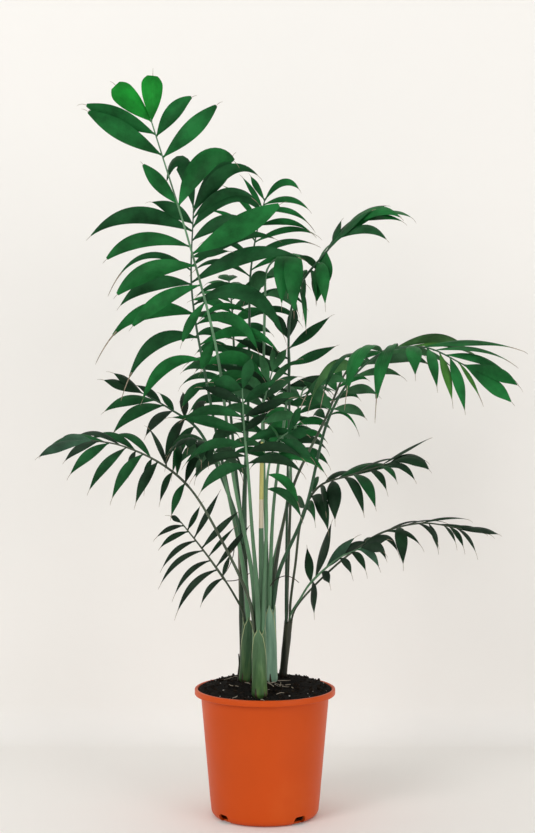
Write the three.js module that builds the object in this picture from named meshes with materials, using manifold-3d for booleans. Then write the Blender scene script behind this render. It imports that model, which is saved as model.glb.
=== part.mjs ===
// A parlour palm in a round nursery pot: pot, compost, five stems, a petiole and a feather-shaped
// blade for each frond. Millimetres, +Z up, the origin on the pot's flat underside, on its axis.
import * as THREE from 'three';
import Module from 'manifold-3d';

const wasm = await Module();
wasm.setup();

// ---- small tools ----
const rad = THREE.MathUtils.degToRad;
const point = (values) => new THREE.Vector3(...values);
const mix = THREE.MathUtils.lerp;

// ---- driving dimensions (mm, degrees) ----
const POT = {
  height: 171, footRadius: 73, neckRadius: 86.5, collarRadius: 95, collarHeight: 8.5, wall: 1.8,
  collarWall: 4.2, base: 2.4, footRound: 10, notchWidth: 19, notchHeight: 11,
  notchAngles: [40, 130, 220, 310], facets: 40,
};
const SOIL = { level: 173, slope: 0.12, flatRadius: 48, wallLevel: 169, wallSlope: 0.045, facets: 24 };
const CLEARANCE = 0.3;

// Each stem: where its foot stands, where its cut top lies, its radius below and above, and the
// flare of its foot. The fronds' petioles stand on the top.
const STEMS = {
  front: { foot: [-7, -48], top: [-8, -35, 250], radius: [10.8, 10.2], flare: 1.12 },
  left: { foot: [-27, 20], top: [-23, 10, 258], radius: [9.2, 8.2], flare: 1.12 },
  back: { foot: [-27, 42], top: [-31, 34, 361], radius: [6.4, 6.0], flare: 1.15 },
  centre: { foot: [10, 20], top: [7, 13, 274], radius: [6.6, 7.4], flare: 1.12 },
  right: { foot: [24, 40], top: [32, 36, 252], radius: [4.6, 6.2], flare: 1.2 },
};

// One side of a frond whose leaflets change evenly from its base to its tip.
const LAST = 0.985;
const TERMINAL = { angle: 21, widen: 1.25, widest: 0.62 };
// What a frond's bluntness of 1 adds to its leaflets and to its terminal pair.
const BLUNT = {
  widest: 0.08, tipPower: -0.45, terminalWidest: 0.14, terminalTipPower: -0.8, terminalWiden: 0.3,
};
// What a tail of 1 adds to a leaflet.
const TAIL = { widest: -0.12, tipPower: 2.0 };
const even = (pairs, longest, angles, droops) => Array.from({ length: pairs }, (_, k) => {
  const last = k === pairs - 1;
  const t = last ? LAST : (k + 0.25) / (pairs - 0.4);
  const shape = 0.8 + 0.2 * Math.sin(Math.PI * t) - 0.28 * t ** 3;
  return [t, last ? TERMINAL.angle : mix(...angles, t ** 1.4), longest * shape, mix(...droops, t)];
});

// Each frond: the stem that carries it, and slot, the bearing of its place on the stem's top. path
// is what its rib runs through: halfway up the petiole, the crown where the leaflets start, and the
// bends of the blade to its tip. face is the way its upper side looks, turning to tipFace at its
// tip, and width is its widest leaflets'. left and right are its leaflets, each with its place along
// the blade, its angle from the rib, its length and its droop, and where they aren't plain its
// breadth beside the others and how far its end is drawn out to a tail. lift raises them off the
// blade, wild is how much they vary, and blunt is how rounded their ends are.
const UP = [0, 0, 1];
const FRONDS = {
  top_left: {
    stem: 'front', slot: 130, face: [0.1, -1, 0.25], width: 27, wild: 0.3, blunt: 1,
    path: [[-42, -58, 462], [-62, -74, 620], [-96, -80, 756], [-150, -70, 930]],
    left: [
      [0.06, 140, 44, 1.5, 0.9], [0.22, 126, 64, 1.6, 0.7], [0.29, 90, 116, 1.1, 0.8],
      [0.37, 74, 122, 1.3], [0.45, 58, 128, 1.5, 0.75], [0.63, 24, 72, 0.2],
      [0.84, 45, 114, 0.1], [0.93, 50, 98, 0.3], [0.985, 30, 70, 0.1],
    ],
    right: [
      [0.42, 77, 136, 0.15, 1.15], [0.62, 42, 116, 3.5, 1.15], [0.83, 63, 100, 0.2],
      [0.92, 50, 76, 1.4], [0.985, 18, 62, 0.1],
    ],
  },
  top_centre: {
    stem: 'left', slot: 100, face: [-0.1, -1, 0.2], width: 24, wild: 0.3,
    path: [[-50, -8, 439], [-76, -18, 572], [-98, -22, 707], [-96, -14, 822]],
    left: [
      [0.05, 100, 50, 2.4, 0.8], [0.17, 74, 114, 3, 0.85], [0.29, 70, 148, 3.7, 0.85, 0.8],
      [0.415, 68, 156, 2.5, 0.95, 1], [0.575, 78, 110, 1.6], [0.65, 56, 140, 3.2, 0.4, 0.8],
      [0.86, 67, 150, 1.7], [0.9, 57, 68, 0.8, 1.1], [0.985, 9, 108, 13, 0.9],
    ],
    right: [
      [0.04, 76, 92, 1.8], [0.14, 76, 96, 2.2], [0.25, 72, 124, 2, 0.75],
      [0.36, 72, 118, 3.2, 0.75], [0.465, 68, 158, 3.2, 0.95], [0.585, 62, 160, 1.2, 0.9],
      [0.67, 52, 132, 1.5, 0.7], [0.72, 80, 60, 0.4, 0.7], [0.81, 50, 94, 1.6],
      [0.88, 36, 128, 3.4], [0.93, 42, 104, 2.2, 0.7], [0.96, 29, 124, 3, 0.9],
      [0.985, 38, 92, 0.2, 1.15],
    ],
  },
  back_upright: {
    stem: 'back', slot: 290, face: [0, -1, 0.3], width: 10, wild: 0.5,
    path: [[-24, 62, 540], [-22, 75, 664], [-21, 86, 730], [-14, 92, 784], [0, 100, 844]],
    left: [
      [0.1, 66, 80, 2], [0.24, 64, 86, 2], [0.38, 60, 88, 2], [0.52, 56, 86, 1.8],
      [0.66, 52, 80, 1.6], [0.8, 48, 72, 1.4], [0.92, 46, 58, 1], [0.985, 46, 42, 0.4],
    ],
    right: [
      [0.06, 62, 84, 2.2], [0.18, 60, 90, 2.2], [0.31, 56, 94, 2],
      [0.43, 54, 98, 1.8, 1, 0.4], [0.54, 56, 94, 1.3, 1, 0.4], [0.65, 54, 96, 1.4],
      [0.78, 62, 92, 1.5, 1, 0.4], [0.9, 70, 84, 1.8, 1, 0.5], [0.95, 56, 74, 1.8, 1.2],
      [0.985, 22, 68, 3.4],
    ],
  },
  centre_upright: {
    stem: 'centre', slot: 190, face: UP, width: 30, lift: 12, wild: 0.4,
    path: [[-2, 22, 500], [0, 28, 690], [4, 24, 741], [24, 12, 756], [46, 0, 755]],
    left: [
      [0.12, 70, 62, 3, 0.7], [0.38, 66, 70, 2.4, 0.7], [0.66, 58, 74, 2, 0.7],
      [0.985, 70, 40, 2.4, 0.6],
    ],
    right: [
      [0.28, 96, 44, 3], [0.42, 118, 40, 3, 1.2], [0.8, 70, 104, 7, 0.8],
      [0.93, 66, 116, 7, 0.85], [0.985, 90, 70, 7, 0.5],
    ],
  },
  right_top: {
    stem: 'right', slot: 205, face: [0, -0.25, 1], width: 26, lift: 4, wild: 0.5,
    path: [[33, 20, 540], [40, 16, 700], [84, 10, 762], [118, 12, 799], [150, 16, 812]],
    left: [
      [0.12, 60, 44, 1], [0.26, 26, 60, 0.3], [0.36, 46, 46, 0.6, 0.9], [0.46, 12, 70, 0.9],
      [0.55, 30, 44, 1.2, 0.8], [0.64, 8, 70, 1.4], [0.73, 8, 70, 1.3], [0.82, 8, 66, 1],
      [0.985, 8, 50, 0.8],
    ],
    right: [
      [0.08, 100, 70, 6, 0.7], [0.17, 92, 66, 5, 0.5], [0.26, 88, 60, 5, 0.5],
      [0.34, 80, 84, 5.5, 0.8], [0.47, 150, 88, 1.6, 1.5], [0.54, 12, 80, 1.1],
      [0.6, 44, 92, 1.7, 0.65], [0.66, 12, 76, 1.3], [0.73, 26, 86, 1.9, 0.85],
      [0.84, 14, 64, 1.2], [0.985, 10, 54, 1.2],
    ],
  },
  centre_fan: {
    stem: 'centre', slot: 262, face: [-0.1, -1, 0.3], width: 17, wild: 0.5,
    path: [[12, 6, 420], [28, 20, 545], [34, 32, 606], [32, 40, 646]],
    left: [
      [0.08, 74, 92, 0.7], [0.26, 72, 112, 0.4], [0.48, 72, 118, 0.3], [0.7, 66, 84, 0.3],
      [0.985, 26, 44, 0.4],
    ],
    right: [
      [0.08, 70, 80, 0.6], [0.34, 76, 66, 0.1], [0.62, 72, 74, 0.1], [0.85, 62, 72, 0.1],
      [0.985, 16, 44, 0.3],
    ],
  },
  left_upper: {
    stem: 'back', slot: 200, face: [0, -0.8, 1], width: 17, wild: 0.4,
    path: [[-58, 28, 450], [-92, 22, 520], [-130, 16, 548], [-168, 10, 570]],
    left: [
      [0.06, 80, 86, 2.8], [0.24, 78, 94, 2.8], [0.46, 58, 66, 1.7], [0.61, 46, 98, 1.4],
      [0.76, 34, 90, 1], [0.985, 14, 60, 0.2],
    ],
    right: [
      [0.1, 74, 58, 1.8], [0.26, 66, 50, 1.6], [0.44, 40, 36, 1.2], [0.66, 22, 44, 1],
      [0.985, 12, 50, 0.5],
    ],
  },
  left_long: {
    stem: 'front', slot: 200, face: [0, -1, 1.1], width: 14, lift: 2, wild: 0.4,
    path: [
      [-53, -58, 368], [-98, -80, 446], [-137, -94, 480],
      [-186, -112, 503], [-222, -126, 510],
    ],
    left: [
      [0.06, 84, 56, 2], [0.21, 78, 54, 1.8], [0.37, 68, 84, 1.6], [0.43, 80, 48, 3.4],
      [0.52, 60, 94, 1.5], [0.59, 76, 34, 3], [0.68, 54, 92, 1.3], [0.84, 40, 84, 0.9],
      [0.93, 24, 60, 1.1], [0.985, 18, 80, 0.7],
    ],
    right: [
      [0.06, 74, 62, 2], [0.16, 70, 70, 2], [0.27, 48, 62, 1.6], [0.44, 48, 80, 2.2],
      [0.59, 36, 72, 1.9], [0.73, 28, 74, 1.8], [0.86, 20, 84, 1.6], [0.985, 16, 48, 1.3],
    ],
  },
  left_low: {
    stem: 'left', slot: 195, face: [0, -1, 0.4], width: 10, wild: 0.3,
    path: [[-42, -8, 298], [-54, -20, 319], [-83, -38, 362], [-111, -50, 399]],
    left: [
      [0.03, 70, 52, 2.2], [0.18, 66, 84, 2.2], [0.34, 62, 76, 2], [0.51, 62, 80, 1.9],
      [0.68, 64, 66, 1.6], [0.84, 62, 48, 1.1], [0.94, 54, 46, 0.9], [0.985, 12, 20, 0.5],
    ],
    right: [
      [0.06, 50, 34, 0.2], [0.22, 74, 76, 0.2], [0.4, 74, 54, 0.3], [0.55, 78, 74, 0.5],
      [0.72, 70, 70, 0.2], [0.86, 66, 38, 0.2], [0.985, 24, 18, 0.3],
    ],
  },
  right_long: {
    stem: 'centre', slot: 334, face: [0, 0.6, 1], width: 27, lift: 14, wild: 0.5, tipFace: [0, -1, 0.45],
    path: [
      [53, -20, 410], [84, -56, 536], [114, -80, 590],
      [154, -108, 623], [204, -136, 628], [254, -156, 604],
    ],
    left: [
      [0.06, 70, 50, 1.5, 0.8], [0.17, 60, 56, 1.2, 0.8], [0.28, 50, 70, 1.2],
      [0.38, 46, 92, 1.3], [0.47, 44, 104, 1.5], [0.56, 42, 112, 1.6], [0.65, 38, 118, 1.3],
      [0.73, 36, 128, 0.6, 0.8, 0.4], [0.8, 34, 112, 1, 0.8, 0.4],
      [0.87, 34, 92, 1.1, 0.8, 0.4], [0.985, 22, 76, 0.7, 0.7],
    ],
    right: [
      [0.05, 58, 62, 1, 0.8], [0.24, 96, 84, 3, 0.8, 0.5], [0.33, 92, 116, 3.8, 0.9, 0.4],
      [0.42, 92, 124, 4, 0.9, 0.4], [0.51, 88, 138, 4.6, 1.1, 0.5],
      [0.6, 86, 138, 4.6, 1.1, 0.5], [0.69, 66, 74, 2.6, 1], [0.77, 60, 82, 2.2, 0.62],
      [0.84, 52, 82, 2.2, 0.62], [0.9, 44, 86, 2.4, 0.75], [0.95, 30, 68, 1.2, 0.3, 0.5],
      [0.985, 8, 88, 0.5, 0.7],
    ],
  },
  right_behind: {
    stem: 'centre', slot: 46, face: UP, width: 15,
    path: [[38, 60, 436], [83, 94, 528], [130, 124, 616], [204, 150, 634]],
    left: even(9, 62, [60, 24], [2, 1]),
    right: [[0, 62, 76, 3.4, 0.3], ...even(9, 62, [60, 24], [2, 1]).slice(1)],
  },
  right_mid: {
    stem: 'right', slot: 60, face: [0, -0.3, 1], width: 19, wild: 0.5,
    path: [[41, 20, 332], [52, 4, 408], [74, -4, 444], [112, -12, 458], [168, -22, 476]],
    left: [
      [0.05, 96, 60, 0.6], [0.2, 60, 50, 1.6], [0.34, 40, 60, 1.6], [0.48, 26, 92, 1, 1.3],
      [0.66, 24, 70, 0.9], [0.9, 28, 76, 0.2], [0.985, 20, 54, 1.4],
    ],
    right: [
      [0.03, 44, 58, 3], [0.17, 70, 74, 2.8, 1.3], [0.3, 70, 62, 3.2, 0.7],
      [0.43, 84, 74, 4.5, 1.2], [0.54, 58, 84, 3.2, 0.7], [0.63, 56, 80, 2.8],
      [0.78, 50, 56, 2.6, 0.8], [0.88, 44, 50, 2.2, 0.8], [0.95, 32, 56, 2, 0.8],
      [0.985, 14, 66, 1.8],
    ],
  },
  right_low: {
    stem: 'right', slot: 350, face: [0, -0.3, 1], width: 13, wild: 0.5,
    path: [[70, 26, 308], [118, 16, 352], [160, 10, 380], [214, 4, 393], [266, -2, 386]],
    left: [
      [0.12, 56, 46, 4.5], [0.34, 18, 60, 0.9], [0.5, 16, 62, 0.8], [0.64, 16, 66, 0.6],
      [0.78, 14, 70, 0.5], [0.9, 14, 60, 0.5], [0.985, 14, 54, 0.5],
    ],
    right: [
      [0.04, 42, 40, 1.4], [0.13, 44, 52, 2.6], [0.24, 42, 52, 2.4, 0.8],
      [0.34, 34, 62, 1.6, 0.8], [0.46, 84, 74, 5, 1.3], [0.62, 44, 52, 2.4, 0.8],
      [0.72, 66, 44, 3.6], [0.84, 50, 36, 2.4], [0.89, 46, 40, 2.6], [0.94, 36, 50, 2.6],
      [0.985, 8, 62, 0.6],
    ],
  },
  right_inner: {
    stem: 'right', slot: 278, face: [-0.3, -0.6, 0.7], width: 16, wild: 0.5,
    path: [[48, 10, 290], [61, -2, 312], [98, -24, 348], [128, -40, 364]],
    left: [
      [0.02, 76, 54, 0.1, 1.1], [0.12, 42, 80, 0.4, 2.2], [0.34, 12, 62, 0.6, 1.3],
      [0.62, 22, 44, 1.4], [0.985, 16, 40, 1],
    ],
    right: [
      [0.06, 98, 56, 1, 1.3], [0.26, 60, 28, 1.6, 1.2], [0.62, 48, 40, 2, 0.8],
      [0.82, 38, 46, 2.2, 0.8], [0.94, 28, 46, 2.4, 0.8], [0.985, 16, 42, 1.4],
    ],
  },
  front_centre: {
    stem: 'front', slot: 265, face: [0, -1, 0.5], width: 17, wild: 0.5,
    path: [[-17, -66, 393], [-22, -88, 470], [-27, -104, 530], [-29, -110, 576]],
    left: [
      [0.05, 78, 80, 1.8], [0.17, 74, 88, 1.8], [0.3, 64, 92, 1.7], [0.46, 66, 100, 0.6],
      [0.65, 62, 88, 1.3], [0.82, 60, 60, 0.6], [0.985, 70, 40, 0.4, 1.7],
    ],
    right: [
      [0.08, 76, 78, 1.6], [0.22, 74, 84, 1.4], [0.36, 70, 76, 0.8], [0.49, 56, 44, 0.1],
      [0.66, 70, 66, 0.3], [0.82, 52, 58, 0.6], [0.985, 20, 46, 0.4],
    ],
  },
  front_left: {
    stem: 'left', slot: 275, face: UP, width: 17,
    path: [[-44, -22, 410], [-58, -44, 470], [-74, -66, 503], [-92, -92, 510]],
    left: even(7, 68, [76, 30], [3.6, 2]),
    right: even(7, 68, [76, 30], [3.6, 2]),
  },
  front_right: {
    stem: 'front', slot: 325, face: [-0.1, -1, 0.4], width: 16, wild: 0.5,
    path: [[2, -52, 392], [2, -66, 440], [6, -84, 478], [16, -104, 508], [30, -122, 520]],
    left: [
      [0.45, 70, 54, 1.6], [0.62, 64, 62, 1.4], [0.8, 52, 58, 1], [0.985, 22, 46, 0.4],
    ],
    right: [
      [0.04, 82, 68, 2.6, 1.2], [0.24, 86, 62, 3, 1.1], [0.44, 44, 96, 2],
      [0.62, 48, 76, 1.6], [0.8, 52, 66, 1], [0.985, 22, 48, 0.4],
    ],
  },
  middle_high: {
    stem: 'front', slot: 45, face: UP, width: 14,
    path: [[-5, -26, 390], [-4, -38, 490], [-2, -50, 552], [10, -66, 600]],
    left: even(7, 66, [68, 26], [2.4, 1]),
    right: even(7, 66, [68, 26], [2.4, 1]),
  },
  back_left: {
    stem: 'back', slot: 115, face: UP, width: 17,
    path: [[-42, 78, 470], [-50, 112, 552], [-56, 160, 612], [-66, 224, 618]],
    left: even(9, 80, [68, 26], [2.4, 1]),
    right: even(9, 80, [68, 26], [2.4, 1]),
  },
  back_right: {
    stem: 'centre', slot: 118, face: UP, width: 16,
    path: [[30, 74, 410], [40, 112, 498], [54, 168, 570], [72, 232, 582]],
    left: even(9, 60, [66, 26], [2.4, 1]),
    right: even(9, 60, [66, 26], [2.4, 1]),
  },
  back_low: {
    stem: 'right', slot: 132, face: UP, width: 15,
    path: [[34, 84, 370], [36, 118, 470], [26, 176, 530], [8, 236, 532]],
    left: even(8, 74, [68, 26], [2.4, 1]),
    right: even(8, 74, [68, 26], [2.4, 1]),
  },
  back_high: {
    stem: 'back', slot: 30, face: UP, width: 16,
    path: [[-28, 84, 500], [-42, 112, 600], [-48, 152, 692], [-54, 222, 736]],
    left: even(9, 68, [64, 26], [2.2, 1]),
    right: even(9, 68, [64, 26], [2.2, 1]),
  },
};

const PETIOLE = {
  footRadius: 2.7, crownRadius: 2.0, tipRadius: 0.9, steps: 8, sides: 5, ring: 0.58,
  shoulder: 0.35, lean: 0.45,
};
const RACHIS = { steps: 8, sides: 3 };
const LEAFLET = {
  thickness: 1.6, widest: 0.47, tipPower: 1.35, stations: [8, 16], fineSteps: 24, stagger: 0.3,
  lift: 10, sweep: 0.3, jitter: 6, roll: 20, vary: 0.11, sink: 0.2, narrowest: 0.5,
};
// How a leaflet that finds no room is swung up or down, in degrees, and shortened.
const DODGES = [[0, 1], [14, 1], [-14, 1], [28, 1], [-28, 0.9], [42, 0.85], [-42, 0.8], [0, 0.6]];

// ---- materials ----
const finish = (colour, roughness) => new THREE.MeshStandardMaterial({
  color: colour, roughness, metalness: 0,
});
const MATERIALS = {
  pot: finish(0xc64717, 0.45), soil: finish(0x17110d, 0.95), stem: finish(0x4c6a3f, 0.6),
  cane: finish(0x5a5138, 0.7), petiole: finish(0x3f7d48, 0.5), frond: finish(0x1d6332, 0.45),
};

// Seeded random numbers, so that the plant comes out the same each time.
function randomStream(seed) {
  let state = seed >>> 0;
  return () => {
    state = (state + 0x6d2b79f5) >>> 0;
    let word = Math.imul(state ^ (state >>> 15), state | 1);
    word ^= word + Math.imul(word ^ (word >>> 7), word | 61);
    return ((word ^ (word >>> 14)) >>> 0) / 4294967296;
  };
}

const solid = (positions, faces) => new wasm.Manifold(new wasm.Mesh({
  numProp: 3, vertProperties: new Float32Array(positions), triVerts: new Uint32Array(faces),
}));

function toMesh(name, manifold, material) {
  const { vertProperties, triVerts } = manifold.getMesh();
  const geometry = new THREE.BufferGeometry();
  geometry.setAttribute('position', new THREE.BufferAttribute(vertProperties, 3));
  geometry.setIndex(new THREE.BufferAttribute(triVerts, 1));
  geometry.computeVertexNormals();
  const mesh = new THREE.Mesh(geometry, material);
  mesh.name = name;
  return mesh;
}

// A solid through rings that have the same number of points, closed by a fan at each end. A first
// or last ring of one point closes it in a tip.
function loft(rings) {
  const positions = rings.flat().flatMap((p) => [p.x, p.y, p.z]);
  const sides = Math.max(rings[0].length, rings[1].length);
  const faces = [];
  const fan = (first, turnedOver) => {
    for (let k = 1; k < sides - 1; k += 1) {
      const [a, b] = turnedOver ? [k + 1, k] : [k, k + 1];
      faces.push(first, first + a, first + b);
    }
  };
  if (rings[0].length > 1) fan(0, true);
  let below = 0;
  rings.slice(1).forEach((ring, r) => {
    const above = below + rings[r].length;
    for (let k = 0; k < sides; k += 1) {
      const next = (k + 1) % sides;
      if (rings[r].length === 1) faces.push(below, above + next, above + k);
      else if (ring.length === 1) faces.push(below + k, below + next, above);
      else faces.push(below + k, below + next, above + next, below + k, above + next, above + k);
    }
    below = above;
  });
  if (rings.at(-1).length > 1) fan(below, false);
  return solid(positions, faces);
}

// The profile's points are [radius, height], from the axis below, round the outside, to the axis.
function turned(profile, facets) {
  const lathe = new THREE.LatheGeometry(profile.map(([r, z]) => new THREE.Vector2(r, z)), facets);
  lathe.rotateX(Math.PI / 2);
  const source = lathe.attributes.position;
  const rows = profile.length;
  const positions = [];
  const index = new Map();
  const vertex = (column, row) => {
    const onAxis = profile[row][0] === 0;
    const key = `${onAxis ? 0 : column % facets}:${row}`;
    if (!index.has(key)) {
      const at = (column % facets) * rows + row;
      index.set(key, positions.length / 3);
      positions.push(onAxis ? 0 : source.getX(at), onAxis ? 0 : source.getY(at), source.getZ(at));
    }
    return index.get(key);
  };
  const faces = [];
  for (let c = 0; c < facets; c += 1) {
    for (let r = 0; r < rows - 1; r += 1) {
      const [a, b, d, e] = [vertex(c, r), vertex(c + 1, r), vertex(c + 1, r + 1), vertex(c, r + 1)];
      if (a !== b) faces.push(a, b, d);
      if (d !== e) faces.push(a, d, e);
    }
  }
  return { positions, faces };
}

// ---- pot and compost ----
function makePot() {
  const { height, wall, base, footRadius, neckRadius, collarRadius, collarWall, footRound } = POT;
  const neck = height - POT.collarHeight;
  const inner = collarRadius - collarWall;
  const shape = turned([
    [0, 0], [footRadius - footRound, 0], [footRadius - footRound * 0.25, footRound * 0.35],
    [footRadius, footRound], [neckRadius, neck], [collarRadius - 1, neck + 0.5],
    [collarRadius, neck + 2], [collarRadius, height - 1.2], [collarRadius - 1.2, height],
    [inner + 1, height], [inner, height - 1.2], [inner, neck + wall],
    [neckRadius - wall, neck + wall * 0.5], [footRadius - wall, footRound],
    [footRadius - footRound * 0.8, base], [0, base],
  ], POT.facets);
  let pot = solid(shape.positions, shape.faces);
  for (const angle of POT.notchAngles) pot = pot.subtract(makeNotch(rad(angle - 90)));
  return pot;
}

// A drain notch: an arched slot through the pot's wall and the edge of its base.
function makeNotch(heading) {
  const { notchWidth, notchHeight, footRadius, footRound } = POT;
  const corner = notchHeight * 0.45;
  const outline = new THREE.Shape();
  outline.moveTo(-notchWidth / 2, -1);
  outline.lineTo(notchWidth / 2, -1);
  outline.lineTo(notchWidth / 2, notchHeight - corner);
  outline.quadraticCurveTo(notchWidth / 2, notchHeight, notchWidth / 2 - corner, notchHeight);
  outline.lineTo(-notchWidth / 2 + corner, notchHeight);
  outline.quadraticCurveTo(-notchWidth / 2, notchHeight, -notchWidth / 2, notchHeight - corner);
  const points = outline.extractPoints(3).shape.slice(0, -1);
  const out = new THREE.Vector3(Math.cos(heading), Math.sin(heading), 0);
  const along = new THREE.Vector3(-out.y, out.x, 0);
  const ring = (distance) => points.map((p) => new THREE.Vector3(0, 0, p.y)
    .addScaledVector(out, distance).addScaledVector(along, p.x));
  return loft([ring(footRadius - footRound), ring(footRadius + footRound)]);
}

// The compost slopes up to the back, and falls away to the pot's wall all round.
const soilRadius = POT.collarRadius - POT.collarWall - CLEARANCE * 2;
const soilHeight = (x, y) => {
  const edge = Math.max(0, (Math.hypot(x, y) - SOIL.flatRadius) / (soilRadius - SOIL.flatRadius));
  return mix(SOIL.level + SOIL.slope * y, SOIL.wallLevel + SOIL.wallSlope * y, edge ** 1.5);
};

function makeSoil() {
  const { base, wall, footRadius, neckRadius, footRound, height, collarHeight } = POT;
  const neck = height - collarHeight;
  const inset = wall + CLEARANCE * 2;
  const shape = turned([
    [0, base + CLEARANCE], [footRadius - footRound * 0.8 - CLEARANCE * 2, base + CLEARANCE],
    [footRadius - inset, footRound], [neckRadius - inset, neck + wall * 1.5],
    [soilRadius, neck + wall * 1.5], [soilRadius, SOIL.level],
    [mix(soilRadius, SOIL.flatRadius, 0.5), SOIL.level], [SOIL.flatRadius, SOIL.level],
    [0, SOIL.level],
  ], SOIL.facets);
  for (let k = 0; k < shape.positions.length; k += 3) {
    const [x, y, z] = shape.positions.slice(k, k + 3);
    if (Math.fround(z) === Math.fround(SOIL.level)) shape.positions[k + 2] = soilHeight(x, y);
  }
  return solid(shape.positions, shape.faces);
}

// ---- stems ----
function ringAround(centre, along, across, radius, sides, squash = 1) {
  const other = new THREE.Vector3().crossVectors(along, across);
  return Array.from({ length: sides }, (_, k) => {
    const angle = (2 * Math.PI * k) / sides;
    return centre.clone().addScaledVector(across, radius * Math.cos(angle))
      .addScaledVector(other, radius * squash * Math.sin(angle));
  });
}

function makeStem({ foot, top, radius, flare }) {
  const ground = soilHeight(...foot);
  const start = point([...foot, ground - 6]);
  const end = point(top);
  const levels = [[0, flare], [0.1, 1 + (flare - 1) * 0.5], [0.25, 1], [0.6, 1], [1, 1]];
  const rings = levels.map(([u, swell]) => ringAround(
    start.clone().lerp(end, u), new THREE.Vector3(0, 0, 1), new THREE.Vector3(1, 0, 0),
    mix(radius[0], radius[1], u) * swell, 12,
  ));
  return loft(rings);
}

// ---- fronds ----
// Where a petiole stands on its stem's top: on a ring, at the frond's slot.
function footOf(frond) {
  const { top, radius } = STEMS[frond.stem];
  const reach = radius[1] * PETIOLE.ring;
  const slot = rad(frond.slot);
  return point(top).add(new THREE.Vector3(reach * Math.cos(slot), reach * Math.sin(slot), CLEARANCE));
}

// How thick a petiole may be at its foot, beside its neighbours on the same stem.
function footRadiusOf(frond) {
  const others = Object.values(FRONDS).filter((other) => other !== frond && other.stem === frond.stem);
  const nearest = Math.min(...others.map((other) => footOf(other).distanceTo(footOf(frond))));
  return Math.min(PETIOLE.footRadius, nearest / 2 - CLEARANCE);
}

// The rib of a frond: a smooth curve from the petiole's foot to the blade's tip. The crown is the
// fourth point it runs through.
const SPAN_STEPS = 40;
function makeRib(frond) {
  const foot = footOf(frond);
  const path = frond.path.map(point);
  const [knee] = path;
  const shoulder = foot.clone().lerp(knee, PETIOLE.shoulder * PETIOLE.lean);
  shoulder.z = mix(foot.z, knee.z, PETIOLE.shoulder);
  const curve = new THREE.CatmullRomCurve3([foot, shoulder, ...path], false, 'centripetal');
  const divisions = SPAN_STEPS * (path.length + 1);
  curve.arcLengthDivisions = divisions;
  const lengths = curve.getLengths(divisions);
  const total = lengths[divisions];
  return { curve, total, crownAt: lengths[SPAN_STEPS * 3] / total };
}

// A tapering limb along part of a rib.
function makeLimb(rib, from, to, radii, { steps, sides }, levelFoot) {
  let across = null;
  const rings = Array.from({ length: steps + 1 }, (_, k) => {
    const at = mix(from, to, k / steps);
    const along = rib.curve.getTangentAt(at);
    across = (across ?? new THREE.Vector3(1, 0, 0)).clone();
    across.addScaledVector(along, -across.dot(along)).normalize();
    const ring = ringAround(rib.curve.getPointAt(at), along, across, mix(...radii, k / steps), sides);
    if (levelFoot && k === 0) ring.forEach((p) => { p.z = rib.curve.getPointAt(at).z; });
    return ring;
  });
  return loft(rings);
}

// A point on the rachis, whose centre line is straight from one of its rings to the next.
function rachisPoint(rib, t) {
  const ring = Math.min(Math.floor(t * RACHIS.steps), RACHIS.steps - 1);
  const at = (k) => rib.curve.getPointAt(mix(rib.crownAt, 1, k / RACHIS.steps));
  return at(ring).lerp(at(ring + 1), t * RACHIS.steps - ring);
}

// A leaflet's half width along its length, beside its widest.
const swell = (s, { widest, tipPower }) => (s < widest
  ? Math.sin((Math.PI / 2) * (s / widest))
  : Math.cos((Math.PI / 2) * ((s - widest) / (1 - widest))) ** tipPower);

// How wide a leaflet is beside its frond's, where it is widest, and how its end narrows.
const outlineOf = (terminal, blunt, tail) => (terminal
  ? {
    widen: TERMINAL.widen + BLUNT.terminalWiden * blunt,
    widest: TERMINAL.widest + BLUNT.terminalWidest * blunt,
    tipPower: LEAFLET.tipPower + BLUNT.terminalTipPower * blunt,
  }
  : {
    widen: 1,
    widest: LEAFLET.widest + BLUNT.widest * blunt + TAIL.widest * tail,
    tipPower: LEAFLET.tipPower + BLUNT.tipPower * blunt + TAIL.tipPower * tail,
  });

// The leaflets of a frond, each varied a little by its own seeded numbers.
function leafletsOf(frond, order) {
  const { wild = 1, blunt = 0 } = frond;
  const longest = Math.max(...[...frond.left, ...frond.right].map((row) => row[2]));
  return [[-1, frond.left], [1, frond.right]].flatMap(([side, rows]) => rows.map((row, k) => {
    const [place, angle, length, droop, breadth = 1, tail = 0] = row;
    const random = randomStream(1000 * order + (side > 0 ? 100 : 0) + k);
    const spread = (most) => (random() - 0.5) * 2 * most;
    const [jitter, roll, vary] = [LEAFLET.jitter, LEAFLET.roll, LEAFLET.vary].map(spread);
    const terminal = place >= LAST;
    const { widen, ...outline } = outlineOf(terminal, blunt, tail);
    return {
      t: terminal || side < 0 || wild < 1 ? place : place + LEAFLET.stagger / rows.length,
      side,
      angle: angle + jitter * wild,
      lift: (frond.lift ?? LEAFLET.lift) + jitter,
      roll,
      droop,
      length: length * (1 + vary * wild),
      width: frond.width * breadth * mix(LEAFLET.narrowest, 1, length / longest) * widen,
      ...outline,
    };
  }));
}

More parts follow.
